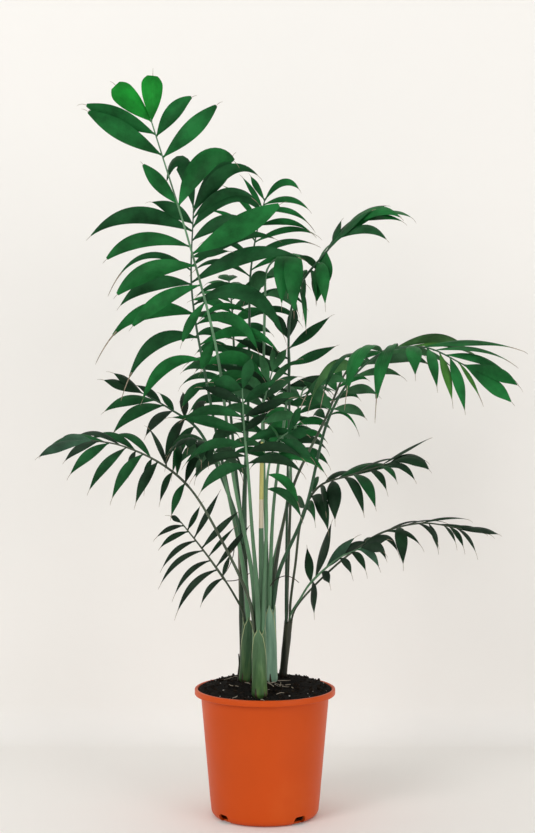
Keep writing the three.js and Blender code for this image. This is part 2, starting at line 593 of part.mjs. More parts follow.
// The middle line of a leaflet at its root, its stations and its tip, with the way across its
// blade. It leaves the rib forward along it and out to its side, lifted off the blade, bends
// forward and then hangs.
function leafletRows(rib, frond, leaflet, swing, shorten) {
  const along = rib.curve.getTangentAt(mix(rib.crownAt, 1, leaflet.t));
  const face = point(frond.face).lerp(point(frond.tipFace ?? frond.face), leaflet.t ** 2);
  face.addScaledVector(along, -face.dot(along)).normalize();
  const out = new THREE.Vector3().crossVectors(along, face).multiplyScalar(leaflet.side);
  const angle = rad(leaflet.angle);
  const lift = rad(leaflet.lift + swing);
  const start = along.clone().multiplyScalar(Math.cos(angle))
    .addScaledVector(out, Math.sin(angle) * Math.cos(lift))
    .addScaledVector(face, Math.sin(angle) * Math.sin(lift));
  const sag = leaflet.droop * Math.hypot(start.x, start.y);
  const centre = rachisPoint(rib, leaflet.t).addScaledVector(face, -LEAFLET.sink);
  const across = new THREE.Vector3().crossVectors(face, start).normalize();
  const tilt = new THREE.Vector3().crossVectors(start, across).multiplyScalar(Math.tan(rad(leaflet.roll)));
  across.add(tilt).normalize();
  const heading = start.clone();
  const rows = [];
  const note = (s) => rows.push({
    s, centre: centre.clone(), across: across.clone(), heading: heading.clone(),
  });
  note(0);
  for (let k = 1; k <= LEAFLET.fineSteps; k += 1) {
    const s = k / LEAFLET.fineSteps;
    centre.addScaledVector(heading, (leaflet.length * shorten) / LEAFLET.fineSteps);
    heading.copy(start).addScaledVector(along, LEAFLET.sweep * (frond.wild ?? 1) * s);
    heading.z -= sag * s ** 1.5;
    heading.normalize();
    across.addScaledVector(heading, -across.dot(heading)).normalize();
    if (k === LEAFLET.fineSteps || LEAFLET.stations.includes(k)) note(s);
  }
  return rows;
}

// A leaflet: a lance-shaped blade, ridged along its middle. It grows from a point on the rib's
// axis, or from its first station when only its free part is wanted.
function makeLeaflet(rows, leaflet, free = false) {
  const rings = rows.map(({ s, centre, across, heading }, k) => {
    if (k === 0 || k === rows.length - 1) return [centre];
    const half = 0.5 * leaflet.width * swell(s, leaflet);
    const ridge = new THREE.Vector3().crossVectors(heading, across);
    return [
      centre.clone().addScaledVector(across, -half),
      centre.clone().addScaledVector(across, half),
      centre.clone().addScaledVector(ridge, LEAFLET.thickness),
    ];
  });
  return loft(free ? rings.slice(1) : rings);
}

// ---- the whole plant ----
const placed = [];
const boxOf = (manifold) => {
  const { min, max } = manifold.boundingBox();
  return new THREE.Box3(point(min), point(max));
};
const clearOf = (manifold, others) => {
  const box = boxOf(manifold).expandByScalar(CLEARANCE * 1.5);
  return others.every((other) => !other.box.intersectsBox(box)
    || manifold.minGap(other.manifold, CLEARANCE * 2) > CLEARANCE * 1.2);
};
const keep = (owner, manifold) => placed.push({ owner, manifold, box: boxOf(manifold) });

const palm = new THREE.Group();
const soil = makeSoil();
palm.add(toMesh('pot', makePot(), MATERIALS.pot));
palm.add(toMesh('soil', soil, MATERIALS.soil));

const ground = soil.translate([0, 0, CLEARANCE]);
for (const [name, stem] of Object.entries(STEMS)) {
  const manifold = makeStem(stem).subtract(ground);
  keep(`stem_${name}`, manifold);
  const woody = name === 'back' || name === 'right';
  palm.add(toMesh(`stem_${name}`, manifold, woody ? MATERIALS.cane : MATERIALS.stem));
}

const ribs = {};
for (const [name, frond] of Object.entries(FRONDS)) {
  const rib = makeRib(frond);
  const gap = CLEARANCE / rib.total;
  const petiole = makeLimb(
    rib, 0, rib.crownAt - gap, [footRadiusOf(frond), PETIOLE.crownRadius], PETIOLE, true,
  );
  const rachis = makeLimb(rib, rib.crownAt, 1, [PETIOLE.crownRadius, PETIOLE.tipRadius], RACHIS, false);
  for (const [kind, manifold] of [['petiole', petiole], ['rachis', rachis]]) {
    for (const other of placed) {
      const distance = other.manifold.minGap(manifold, 1);
      if (distance < CLEARANCE * 0.8) console.error(`${kind}_${name} is ${distance} from ${other.owner}`);
    }
    keep(`${kind}_${name}`, manifold);
  }
  ribs[name] = { rib, rachis };
  palm.add(toMesh(`petiole_${name}`, petiole, MATERIALS.petiole));
}

let skipped = 0;
Object.entries(FRONDS).forEach(([name, frond], order) => {
  const { rib, rachis } = ribs[name];
  const others = placed.filter((other) => other.owner !== `rachis_${name}`);
  const own = [];
  let blade = rachis;
  for (const leaflet of leafletsOf(frond, order)) {
    const fitted = DODGES.some(([swing, shorten]) => {
      const rows = leafletRows(rib, frond, leaflet, swing, shorten);
      const whole = makeLeaflet(rows, leaflet);
      const freePart = makeLeaflet(rows, leaflet, true);
      if (!clearOf(whole, others) || !clearOf(freePart, own)) return false;
      own.push({ owner: name, manifold: freePart, box: boxOf(freePart) });
      keep(`leaflet_${name}`, whole);
      blade = blade.add(whole);
      return true;
    });
    if (!fitted) skipped += 1;
  }
  palm.add(toMesh(`frond_${name}`, blade, MATERIALS.frond));
});
if (skipped) console.error(`${skipped} leaflets left out for want of room`);

export default palm;
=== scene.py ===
"""A potted parlour palm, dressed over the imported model: pot, compost, stems, ribs and leaflets.

The table and the rule of the fronds are those of the part's source, in millimetres; every mesh is
turned into metres as it is made.
"""
import math

import bpy
import numpy as np
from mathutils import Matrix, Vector
from mathutils.bvhtree import BVHTree


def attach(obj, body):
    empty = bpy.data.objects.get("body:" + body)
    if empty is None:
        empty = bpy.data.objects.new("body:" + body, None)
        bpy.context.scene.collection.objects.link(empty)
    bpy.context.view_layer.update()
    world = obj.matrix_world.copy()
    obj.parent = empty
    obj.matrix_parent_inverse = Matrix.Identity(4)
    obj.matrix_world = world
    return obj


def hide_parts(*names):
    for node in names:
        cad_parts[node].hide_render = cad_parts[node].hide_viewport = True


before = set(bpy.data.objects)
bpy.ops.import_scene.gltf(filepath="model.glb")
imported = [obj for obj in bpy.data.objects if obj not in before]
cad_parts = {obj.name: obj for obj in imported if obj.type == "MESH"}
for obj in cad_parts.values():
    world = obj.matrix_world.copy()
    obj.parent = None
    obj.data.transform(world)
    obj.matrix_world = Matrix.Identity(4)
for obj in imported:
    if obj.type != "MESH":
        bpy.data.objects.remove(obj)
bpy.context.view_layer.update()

MM = 0.001
UP = (0, 0, 1)

# ---- the fronds: measures and rules ----
# The pot's and the compost's measures.
POT = dict(
    height=171, foot_radius=73, neck_radius=86.5, collar_radius=95, collar_height=8.5, wall=1.8,
    collar_wall=4.2, base=2.4, foot_round=10, notch_width=19, notch_height=11,
    notch_angles=(40, 130, 220, 310))
SOIL = dict(level=173, slope=0.12, flat_radius=48, wall_level=169, wall_slope=0.045)
CLEARANCE = 0.3

# Each stem: where its foot stands, where its cut top lies, its radius below and above, and the
# flare of its foot. The fronds' petioles stand on the top.
STEMS = {
    "front": dict(foot=(-7, -48), top=(-8, -35, 250), radius=(10.8, 10.2), flare=1.12),
    "left": dict(foot=(-27, 20), top=(-23, 10, 258), radius=(9.2, 8.2), flare=1.12),
    "back": dict(foot=(-27, 42), top=(-31, 34, 361), radius=(6.4, 6.0), flare=1.15),
    "centre": dict(foot=(10, 20), top=(7, 13, 274), radius=(6.6, 7.4), flare=1.12),
    "right": dict(foot=(24, 40), top=(32, 36, 252), radius=(4.6, 6.2), flare=1.2),
}
PETIOLE = dict(foot_radius=2.7, crown_radius=2.0, tip_radius=0.9, ring=0.58, shoulder=0.35, lean=0.45)
RACHIS_STEPS = 8
LEAFLET = dict(
    thickness=1.6, widest=0.47, tip_power=1.35, stagger=0.3, sweep=0.3, sag_power=1.5, jitter=6,
    roll=20, vary=0.11, sink=0.2, steps=24)
# The place of a side's last leaflet along the blade, and how leaflets change along an even side.
END = 0.985
EVEN = dict(first=0.25, spare=0.4, base=0.8, bulge=0.2, taper=0.28, turn_power=1.4)
TERMINAL = dict(angle=21, widen=1.25, widest=0.62)
BLUNT = dict(
    widest=0.08, tip_power=-0.45, terminal_widest=0.14, terminal_tip_power=-0.8, terminal_widen=0.3)
TAIL = dict(widest=-0.12, tip_power=2.0)
DODGES = ((0, 1), (14, 1), (-14, 1), (28, 1), (-28, 0.9), (42, 0.85), (-42, 0.8), (0, 0.6))
SPAN_STEPS = 40
# How many seeds of the random numbers are kept for each frond, and for each side of it.
FROND_SEEDS = 1000
SIDE_SEEDS = 100


def mix(a, b, share):
    return a + (b - a) * share


def unit(vector):
    return vector / np.linalg.norm(vector)


def random_stream(seed):
    """Seeded random numbers from 0 to 1, the same series as in the part's source."""
    mask = 0xFFFFFFFF
    state = seed & mask

    def draw():
        nonlocal state
        state = (state + 0x6D2B79F5) & mask
        word = (state ^ (state >> 15)) * (state | 1) & mask
        word ^= (word + (word ^ (word >> 7)) * (word | 61)) & mask
        return ((word ^ (word >> 14)) & mask) / 4294967296

    return draw


def even(pairs, longest, angles, droops):
    """One side of a frond whose leaflets change evenly from its base to its tip."""
    rows = []
    for k in range(pairs):
        t = END if k == pairs - 1 else (k + EVEN["first"]) / (pairs - EVEN["spare"])
        shape = EVEN["base"] + EVEN["bulge"] * math.sin(math.pi * t) - EVEN["taper"] * t ** 3
        angle = TERMINAL["angle"] if t == END else mix(*angles, t ** EVEN["turn_power"])
        rows.append((t, angle, longest * shape, mix(*droops, t)))
    return rows


def frond(stem, slot, path, face, width, left, right=None, lift=10, wild=1, blunt=0, tip_face=None):
    """A frond's data; its right side is like its left where it isn't given."""
    return dict(stem=stem, slot=slot, path=path, face=face, width=width,
                sides={-1: left, 1: right or left}, lift=lift, wild=wild, blunt=blunt,
                tip_face=tip_face or face)


# Each frond: its stem and its slot on the stem's top; the points its rib runs through, from the
# knee halfway up the petiole over the crown, where the leaflets start, to the tip; the way its
# upper side looks; the width of the widest leaflets; and the leaflets of its left and its right
# side, each with its place along the blade, its angle from the rib, its length and its droop, and
# where they aren't plain its breadth beside the others and how far its end is drawn out to a tail.
FRONDS = {
    "top_left": frond(
        "front", 130, [(-42, -58, 462), (-62, -74, 620), (-96, -80, 756), (-150, -70, 930)],
        (0.1, -1, 0.25), 27,
        [(0.06, 140, 44, 1.5, 0.9), (0.22, 126, 64, 1.6, 0.7), (0.29, 90, 116, 1.1, 0.8),
         (0.37, 74, 122, 1.3), (0.45, 58, 128, 1.5, 0.75), (0.63, 24, 72, 0.2), (0.84, 45, 114, 0.1),
         (0.93, 50, 98, 0.3), (END, 30, 70, 0.1)],
        [(0.42, 77, 136, 0.15, 1.15), (0.62, 42, 116, 3.5, 1.15), (0.83, 63, 100, 0.2),
         (0.92, 50, 76, 1.4), (END, 18, 62, 0.1)], wild=0.3, blunt=1),
    "top_centre": frond(
        "left", 100, [(-50, -8, 439), (-76, -18, 572), (-98, -22, 707), (-96, -14, 822)],
        (-0.1, -1, 0.2), 24,
        [(0.05, 100, 50, 2.4, 0.8), (0.17, 74, 114, 3, 0.85), (0.29, 70, 148, 3.7, 0.85, 0.8),
         (0.415, 68, 156, 2.5, 0.95, 1), (0.575, 78, 110, 1.6), (0.65, 56, 140, 3.2, 0.4, 0.8),
         (0.86, 67, 150, 1.7), (0.90, 57, 68, 0.8, 1.1), (END, 9, 108, 13, 0.9)],
        [(0.04, 76, 92, 1.8), (0.14, 76, 96, 2.2), (0.25, 72, 124, 2, 0.75), (0.36, 72, 118, 3.2, 0.75),
         (0.465, 68, 158, 3.2, 0.95), (0.585, 62, 160, 1.2, 0.9), (0.67, 52, 132, 1.5, 0.7),
         (0.72, 80, 60, 0.4, 0.7), (0.81, 50, 94, 1.6), (0.88, 36, 128, 3.4), (0.93, 42, 104, 2.2, 0.7),
         (0.96, 29, 124, 3, 0.9), (END, 38, 92, 0.2, 1.15)],
        wild=0.3),
    "back_upright": frond(
        "back", 290, [(-24, 62, 540), (-22, 75, 664), (-21, 86, 730), (-14, 92, 784), (0, 100, 844)],
        (0, -1, 0.3), 10,
        [(0.10, 66, 80, 2), (0.24, 64, 86, 2), (0.38, 60, 88, 2), (0.52, 56, 86, 1.8),
         (0.66, 52, 80, 1.6), (0.80, 48, 72, 1.4), (0.92, 46, 58, 1), (END, 46, 42, 0.4)],
        [(0.06, 62, 84, 2.2), (0.18, 60, 90, 2.2), (0.31, 56, 94, 2), (0.43, 54, 98, 1.8, 1, 0.4),
         (0.54, 56, 94, 1.3, 1, 0.4), (0.65, 54, 96, 1.4), (0.78, 62, 92, 1.5, 1, 0.4),
         (0.90, 70, 84, 1.8, 1, 0.5), (0.95, 56, 74, 1.8, 1.2), (END, 22, 68, 3.4)], wild=0.5),
    "centre_upright": frond(
        "centre", 190, [(-2, 22, 500), (0, 28, 690), (4, 24, 741), (24, 12, 756), (46, 0, 755)],
        UP, 30,
        [(0.12, 70, 62, 3, 0.7), (0.38, 66, 70, 2.4, 0.7), (0.66, 58, 74, 2, 0.7),
         (END, 70, 40, 2.4, 0.6)],
        [(0.28, 96, 44, 3), (0.42, 118, 40, 3, 1.2), (0.80, 70, 104, 7, 0.8),
         (0.93, 66, 116, 7, 0.85), (END, 90, 70, 7, 0.5)],
        lift=12, wild=0.4),
    "right_top": frond(
        "right", 205, [(33, 20, 540), (40, 16, 700), (84, 10, 762), (118, 12, 799), (150, 16, 812)],
        (0, -0.25, 1), 26,
        [(0.12, 60, 44, 1), (0.26, 26, 60, 0.3), (0.36, 46, 46, 0.6, 0.9), (0.46, 12, 70, 0.9),
         (0.55, 30, 44, 1.2, 0.8), (0.64, 8, 70, 1.4), (0.73, 8, 70, 1.3), (0.82, 8, 66, 1),
         (END, 8, 50, 0.8)],
        [(0.08, 100, 70, 6, 0.7), (0.17, 92, 66, 5, 0.5), (0.26, 88, 60, 5, 0.5),
         (0.34, 80, 84, 5.5, 0.8), (0.47, 150, 88, 1.6, 1.5), (0.54, 12, 80, 1.1),
         (0.60, 44, 92, 1.7, 0.65), (0.66, 12, 76, 1.3), (0.73, 26, 86, 1.9, 0.85), (0.84, 14, 64, 1.2),
         (END, 10, 54, 1.2)],
        lift=4, wild=0.5),
    "centre_fan": frond(
        "centre", 262, [(12, 6, 420), (28, 20, 545), (34, 32, 606), (32, 40, 646)],
        (-0.1, -1, 0.3), 17,
        [(0.08, 74, 92, 0.7), (0.26, 72, 112, 0.4), (0.48, 72, 118, 0.3), (0.70, 66, 84, 0.3),
         (END, 26, 44, 0.4)],
        [(0.08, 70, 80, 0.6), (0.34, 76, 66, 0.1), (0.62, 72, 74, 0.1), (0.85, 62, 72, 0.1),
         (END, 16, 44, 0.3)], wild=0.5),
    "left_upper": frond(
        "back", 200, [(-58, 28, 450), (-92, 22, 520), (-130, 16, 548), (-168, 10, 570)],
        (0, -0.8, 1), 17,
        [(0.06, 80, 86, 2.8), (0.24, 78, 94, 2.8), (0.46, 58, 66, 1.7), (0.61, 46, 98, 1.4),
         (0.76, 34, 90, 1), (END, 14, 60, 0.2)],
        [(0.10, 74, 58, 1.8), (0.26, 66, 50, 1.6), (0.44, 40, 36, 1.2), (0.66, 22, 44, 1),
         (END, 12, 50, 0.5)], wild=0.4),
    "left_long": frond(
        "front", 200, [(-53, -58, 368), (-98, -80, 446), (-137, -94, 480), (-186, -112, 503),
                       (-222, -126, 510)],
        (0, -1, 1.1), 14,
        [(0.06, 84, 56, 2), (0.21, 78, 54, 1.8), (0.37, 68, 84, 1.6), (0.43, 80, 48, 3.4),
         (0.52, 60, 94, 1.5), (0.59, 76, 34, 3), (0.68, 54, 92, 1.3), (0.84, 40, 84, 0.9),
         (0.93, 24, 60, 1.1), (END, 18, 80, 0.7)],
        [(0.06, 74, 62, 2), (0.16, 70, 70, 2), (0.27, 48, 62, 1.6), (0.44, 48, 80, 2.2),
         (0.59, 36, 72, 1.9), (0.73, 28, 74, 1.8), (0.86, 20, 84, 1.6), (END, 16, 48, 1.3)],
        lift=2, wild=0.4),
    "left_low": frond(
        "left", 195, [(-42, -8, 298), (-54, -20, 319), (-83, -38, 362), (-111, -50, 399)],
        (0, -1, 0.4), 10,
        [(0.03, 70, 52, 2.2), (0.18, 66, 84, 2.2), (0.34, 62, 76, 2), (0.51, 62, 80, 1.9),
         (0.68, 64, 66, 1.6), (0.84, 62, 48, 1.1), (0.94, 54, 46, 0.9), (END, 12, 20, 0.5)],
        [(0.06, 50, 34, 0.2), (0.22, 74, 76, 0.2), (0.40, 74, 54, 0.3), (0.55, 78, 74, 0.5),
         (0.72, 70, 70, 0.2), (0.86, 66, 38, 0.2), (END, 24, 18, 0.3)], wild=0.3),
    "right_long": frond(
        "centre", 334, [(53, -20, 410), (84, -56, 536), (114, -80, 590), (154, -108, 623),
                        (204, -136, 628), (254, -156, 604)],
        (0, 0.6, 1), 27,
        [(0.06, 70, 50, 1.5, 0.8), (0.17, 60, 56, 1.2, 0.8), (0.28, 50, 70, 1.2), (0.38, 46, 92, 1.3),
         (0.47, 44, 104, 1.5), (0.56, 42, 112, 1.6), (0.65, 38, 118, 1.3),
         (0.73, 36, 128, 0.6, 0.8, 0.4), (0.80, 34, 112, 1, 0.8, 0.4), (0.87, 34, 92, 1.1, 0.8, 0.4),
         (END, 22, 76, 0.7, 0.7)],
        [(0.05, 58, 62, 1, 0.8), (0.24, 96, 84, 3, 0.8, 0.5), (0.33, 92, 116, 3.8, 0.9, 0.4),
         (0.42, 92, 124, 4, 0.9, 0.4), (0.51, 88, 138, 4.6, 1.1, 0.5), (0.60, 86, 138, 4.6, 1.1, 0.5),
         (0.69, 66, 74, 2.6, 1), (0.77, 60, 82, 2.2, 0.62), (0.84, 52, 82, 2.2, 0.62),
         (0.90, 44, 86, 2.4, 0.75), (0.95, 30, 68, 1.2, 0.3, 0.5), (END, 8, 88, 0.5, 0.7)],
        lift=14, wild=0.5, tip_face=(0, -1, 0.45)),
    "right_behind": frond(
        "centre", 46, [(38, 60, 436), (83, 94, 528), (130, 124, 616), (204, 150, 634)],
        UP, 15, even(9, 62, (60, 24), (2, 1)),
        [(0, 62, 76, 3.4, 0.3), *even(9, 62, (60, 24), (2, 1))[1:]]),
    "right_mid": frond(
        "right", 60, [(41, 20, 332), (52, 4, 408), (74, -4, 444), (112, -12, 458), (168, -22, 476)],
        (0, -0.3, 1), 19,
        [(0.05, 96, 60, 0.6), (0.20, 60, 50, 1.6), (0.34, 40, 60, 1.6), (0.48, 26, 92, 1, 1.3),
         (0.66, 24, 70, 0.9), (0.90, 28, 76, 0.2), (END, 20, 54, 1.4)],
        [(0.03, 44, 58, 3), (0.17, 70, 74, 2.8, 1.3), (0.30, 70, 62, 3.2, 0.7),
         (0.43, 84, 74, 4.5, 1.2), (0.54, 58, 84, 3.2, 0.7), (0.63, 56, 80, 2.8),
         (0.78, 50, 56, 2.6, 0.8), (0.88, 44, 50, 2.2, 0.8), (0.95, 32, 56, 2, 0.8),
         (END, 14, 66, 1.8)], wild=0.5),
    "right_low": frond(
        "right", 350, [(70, 26, 308), (118, 16, 352), (160, 10, 380), (214, 4, 393), (266, -2, 386)],
        (0, -0.3, 1), 13,
        [(0.12, 56, 46, 4.5), (0.34, 18, 60, 0.9), (0.50, 16, 62, 0.8), (0.64, 16, 66, 0.6),
         (0.78, 14, 70, 0.5), (0.90, 14, 60, 0.5), (END, 14, 54, 0.5)],
        [(0.04, 42, 40, 1.4), (0.13, 44, 52, 2.6), (0.24, 42, 52, 2.4, 0.8), (0.34, 34, 62, 1.6, 0.8),
         (0.46, 84, 74, 5, 1.3), (0.62, 44, 52, 2.4, 0.8), (0.72, 66, 44, 3.6), (0.84, 50, 36, 2.4),
         (0.89, 46, 40, 2.6), (0.94, 36, 50, 2.6), (END, 8, 62, 0.6)], wild=0.5),
    "right_inner": frond(
        "right", 278, [(48, 10, 290), (61, -2, 312), (98, -24, 348), (128, -40, 364)],
        (-0.3, -0.6, 0.7), 16,
        [(0.02, 76, 54, 0.1, 1.1), (0.12, 42, 80, 0.4, 2.2), (0.34, 12, 62, 0.6, 1.3),
         (0.62, 22, 44, 1.4), (END, 16, 40, 1)],
        [(0.06, 98, 56, 1, 1.3), (0.26, 60, 28, 1.6, 1.2), (0.62, 48, 40, 2, 0.8),
         (0.82, 38, 46, 2.2, 0.8), (0.94, 28, 46, 2.4, 0.8), (END, 16, 42, 1.4)], wild=0.5),
    "front_centre": frond(
        "front", 265, [(-17, -66, 393), (-22, -88, 470), (-27, -104, 530), (-29, -110, 576)],
        (0, -1, 0.5), 17,
        [(0.05, 78, 80, 1.8), (0.17, 74, 88, 1.8), (0.30, 64, 92, 1.7), (0.46, 66, 100, 0.6),
         (0.65, 62, 88, 1.3), (0.82, 60, 60, 0.6), (END, 70, 40, 0.4, 1.7)],
        [(0.08, 76, 78, 1.6), (0.22, 74, 84, 1.4), (0.36, 70, 76, 0.8), (0.49, 56, 44, 0.1),
         (0.66, 70, 66, 0.3), (0.82, 52, 58, 0.6), (END, 20, 46, 0.4)], wild=0.5),
    "front_left": frond(
        "left", 275, [(-44, -22, 410), (-58, -44, 470), (-74, -66, 503), (-92, -92, 510)],
        UP, 17, even(7, 68, (76, 30), (3.6, 2))),
    "front_right": frond(
        "front", 325, [(2, -52, 392), (2, -66, 440), (6, -84, 478), (16, -104, 508), (30, -122, 520)],
        (-0.1, -1, 0.4), 16,
        [(0.45, 70, 54, 1.6), (0.62, 64, 62, 1.4), (0.80, 52, 58, 1), (END, 22, 46, 0.4)],
        [(0.04, 82, 68, 2.6, 1.2), (0.24, 86, 62, 3, 1.1), (0.44, 44, 96, 2), (0.62, 48, 76, 1.6),
         (0.80, 52, 66, 1), (END, 22, 48, 0.4)], wild=0.5),
    "middle_high": frond(
        "front", 45, [(-5, -26, 390), (-4, -38, 490), (-2, -50, 552), (10, -66, 600)],
        UP, 14, even(7, 66, (68, 26), (2.4, 1))),
    "back_left": frond(
        "back", 115, [(-42, 78, 470), (-50, 112, 552), (-56, 160, 612), (-66, 224, 618)],
        UP, 17, even(9, 80, (68, 26), (2.4, 1))),
    "back_right": frond(
        "centre", 118, [(30, 74, 410), (40, 112, 498), (54, 168, 570), (72, 232, 582)],
        UP, 16, even(9, 60, (66, 26), (2.4, 1))),
    "back_low": frond(
        "right", 132, [(34, 84, 370), (36, 118, 470), (26, 176, 530), (8, 236, 532)],
        UP, 15, even(8, 74, (68, 26), (2.4, 1))),
    "back_high": frond(
        "back", 30, [(-28, 84, 500), (-42, 112, 600), (-48, 152, 692), (-54, 222, 736)],
        UP, 16, even(9, 68, (64, 26), (2.2, 1))),
}


class Rib:
    """A frond's rib: a centripetal Catmull-Rom curve through its points, measured along its length."""

    def __init__(self, points):
        points = [np.array(p, float) for p in points]
        self.spans = len(points) - 1
        self.knots = [2 * points[0] - points[1], *points, 2 * points[-1] - points[-2]]
        steps = SPAN_STEPS * self.spans
        walk = np.array([self.place(k / steps) for k in range(steps + 1)])
        self.lengths = np.concatenate([[0], np.cumsum(np.linalg.norm(np.diff(walk, axis=0), axis=1))])
        self.total = self.lengths[-1]
        self.crown = self.lengths[3 * SPAN_STEPS] / self.total

    def place(self, u):
        span = min(int(u * self.spans), self.spans - 1)
        share = u * self.spans - span
        p0, p1, p2, p3 = self.knots[span:span + 4]
        d0, d1, d2 = (np.linalg.norm(b - a) ** 0.5 for a, b in ((p0, p1), (p1, p2), (p2, p3)))
        m1 = ((p1 - p0) / d0 - (p2 - p0) / (d0 + d1) + (p2 - p1) / d1) * d1
        m2 = ((p2 - p1) / d1 - (p3 - p1) / (d1 + d2) + (p3 - p2) / d2) * d1
        bend = -3 * p1 + 3 * p2 - 2 * m1 - m2
        return p1 + share * (m1 + share * (bend + share * (2 * p1 - 2 * p2 + m1 + m2)))

    def parameter(self, share):
        return float(np.interp(share * self.total, self.lengths, np.linspace(0, 1, len(self.lengths))))

    def point(self, share):
        return self.place(self.parameter(share))

    def tangent(self, share):
        u = self.parameter(share)
        return unit(self.place(min(1, u + 1e-4)) - self.place(max(0, u - 1e-4)))


def foot_of(frond):
    """Where a petiole stands on its stem's top: on a ring, at the frond's slot."""
    stem = STEMS[frond["stem"]]
    slot = math.radians(frond["slot"])
    reach = stem["radius"][1] * PETIOLE["ring"]
    return np.array(stem["top"], float) + (reach * math.cos(slot), reach * math.sin(slot), CLEARANCE)


def foot_radius_of(frond):
    """How thick a petiole may be at its foot, beside its neighbours on the same stem."""
    others = [other for other in FRONDS.values()
              if other is not frond and other["stem"] == frond["stem"]]
    nearest = min(np.linalg.norm(foot_of(other) - foot_of(frond)) for other in others)
    return min(PETIOLE["foot_radius"], nearest / 2 - CLEARANCE)


def make_rib(frond):
    foot = foot_of(frond)
    knee = np.array(frond["path"][0], float)
    shoulder = mix(foot, knee, PETIOLE["shoulder"] * PETIOLE["lean"])
    shoulder[2] = mix(foot[2], knee[2], PETIOLE["shoulder"])
    return Rib([foot, shoulder, *frond["path"]])


def rachis_point(rib, t):
    """A point on the rachis, which is straight from one ring of the part's solid to the next."""
    ring = min(int(t * RACHIS_STEPS), RACHIS_STEPS - 1)
    ends = [rib.point(mix(rib.crown, 1, k / RACHIS_STEPS)) for k in (ring, ring + 1)]
    return mix(*ends, t * RACHIS_STEPS - ring)


def swell(s, leaflet):
    """A leaflet's half width along its length, beside its widest."""
    widest = leaflet["widest"]
    if s < widest:
        return math.sin(math.pi / 2 * s / widest)
    return max(0.0, math.cos(math.pi / 2 * (s - widest) / (1 - widest))) ** leaflet["tip_power"]


def leaflet_path(rib, frond, leaflet, swing, shorten):
    """The middle line of a leaflet, and the ways across and up from its blade, at each step."""
    at = mix(rib.crown, 1, leaflet["t"])
    along = rib.tangent(at)
    face = mix(np.array(frond["face"], float), np.array(frond["tip_face"], float), leaflet["t"] ** 2)
    face = unit(face - face.dot(along) * along)
    out = np.cross(along, face) * leaflet["side"]
    angle = math.radians(leaflet["angle"])
    rise = math.radians(leaflet["lift"] + swing)
    start = math.cos(angle) * along + math.sin(angle) * (math.cos(rise) * out + math.sin(rise) * face)
    sag = leaflet["droop"] * math.hypot(start[0], start[1])
    centre = rachis_point(rib, leaflet["t"]) - face * LEAFLET["sink"]
    across = unit(np.cross(face, start))
    across = unit(across + math.tan(math.radians(leaflet["roll"])) * np.cross(start, across))
    steps = LEAFLET["steps"]
    length = leaflet["length"] * shorten
    heading = start
    rows = [(centre, across, np.cross(start, across))]
    for k in range(1, steps + 1):
        centre = centre + heading * (length / steps)
        s = k / steps
        heading = start + LEAFLET["sweep"] * frond["wild"] * s * along
        heading = unit(heading - (0, 0, sag * s ** LEAFLET["sag_power"]))
        across = unit(across - across.dot(heading) * heading)
        rows.append((centre, across, np.cross(heading, across)))
    return rows


def shape_of(terminal, blunt, tail):
    """How wide a leaflet is beside its frond's, where it is widest, and how its end narrows."""
    if terminal:
        return dict(widen=TERMINAL["widen"] + BLUNT["terminal_widen"] * blunt,
                    widest=TERMINAL["widest"] + BLUNT["terminal_widest"] * blunt,
                    tip_power=LEAFLET["tip_power"] + BLUNT["terminal_tip_power"] * blunt)
    return dict(widen=1, widest=LEAFLET["widest"] + BLUNT["widest"] * blunt + TAIL["widest"] * tail,
                tip_power=LEAFLET["tip_power"] + BLUNT["tip_power"] * blunt + TAIL["tip_power"] * tail)


def leaflets_of(frond, order):
    """The leaflets of a frond, by the rule that the part's source has."""
    longest = max(row[2] for rows in frond["sides"].values() for row in rows)
    for side, rows in frond["sides"].items():
        for k, (t, angle, length, droop, *rest) in enumerate(rows):
            breadth, tail = (*rest, *(1, 0)[len(rest):])
            draw = random_stream(FROND_SEEDS * order + SIDE_SEEDS * (side > 0) + k)
            jitter, roll, vary = ((draw() - 0.5) * 2 * LEAFLET[name]
                                  for name in ("jitter", "roll", "vary"))
            wild = frond["wild"]
            terminal = t == END
            shape = shape_of(terminal, frond["blunt"], tail)
            yield dict(
                t=t if terminal or side < 0 or wild < 1 else t + LEAFLET["stagger"] / len(rows),
                terminal=terminal, side=side, angle=angle + jitter * wild,
                lift=frond["lift"] + jitter, roll=roll, droop=droop,
                length=length * (1 + vary * wild), tail=tail,
                width=frond["width"] * breadth * mix(0.5, 1, length / longest) * shape["widen"],
                widest=shape["widest"], tip_power=shape["tip_power"])


# ---- tints ----
# Some tints hold painted light and shade: "bright" is partly the leaflets' own fresh green and partly a
# painted glow of light through backlit leaflets; "lime" is partly their own yellow-green and partly
# painted light on lit leaflets; "dark" and "dusk" are partly their own deeper green and partly painted
# shade of the fronds inside and low in the plant.
TINTS = {
    "bright": (0.008, 0.190, 0.020), "lime": (0.040, 0.140, 0.022), "mid": (0.010, 0.108, 0.024),
    "deep": (0.010, 0.068, 0.020), "dark": (0.009, 0.032, 0.013), "grey": (0.032, 0.080, 0.046),
    "dusk": (0.015, 0.032, 0.018),
}
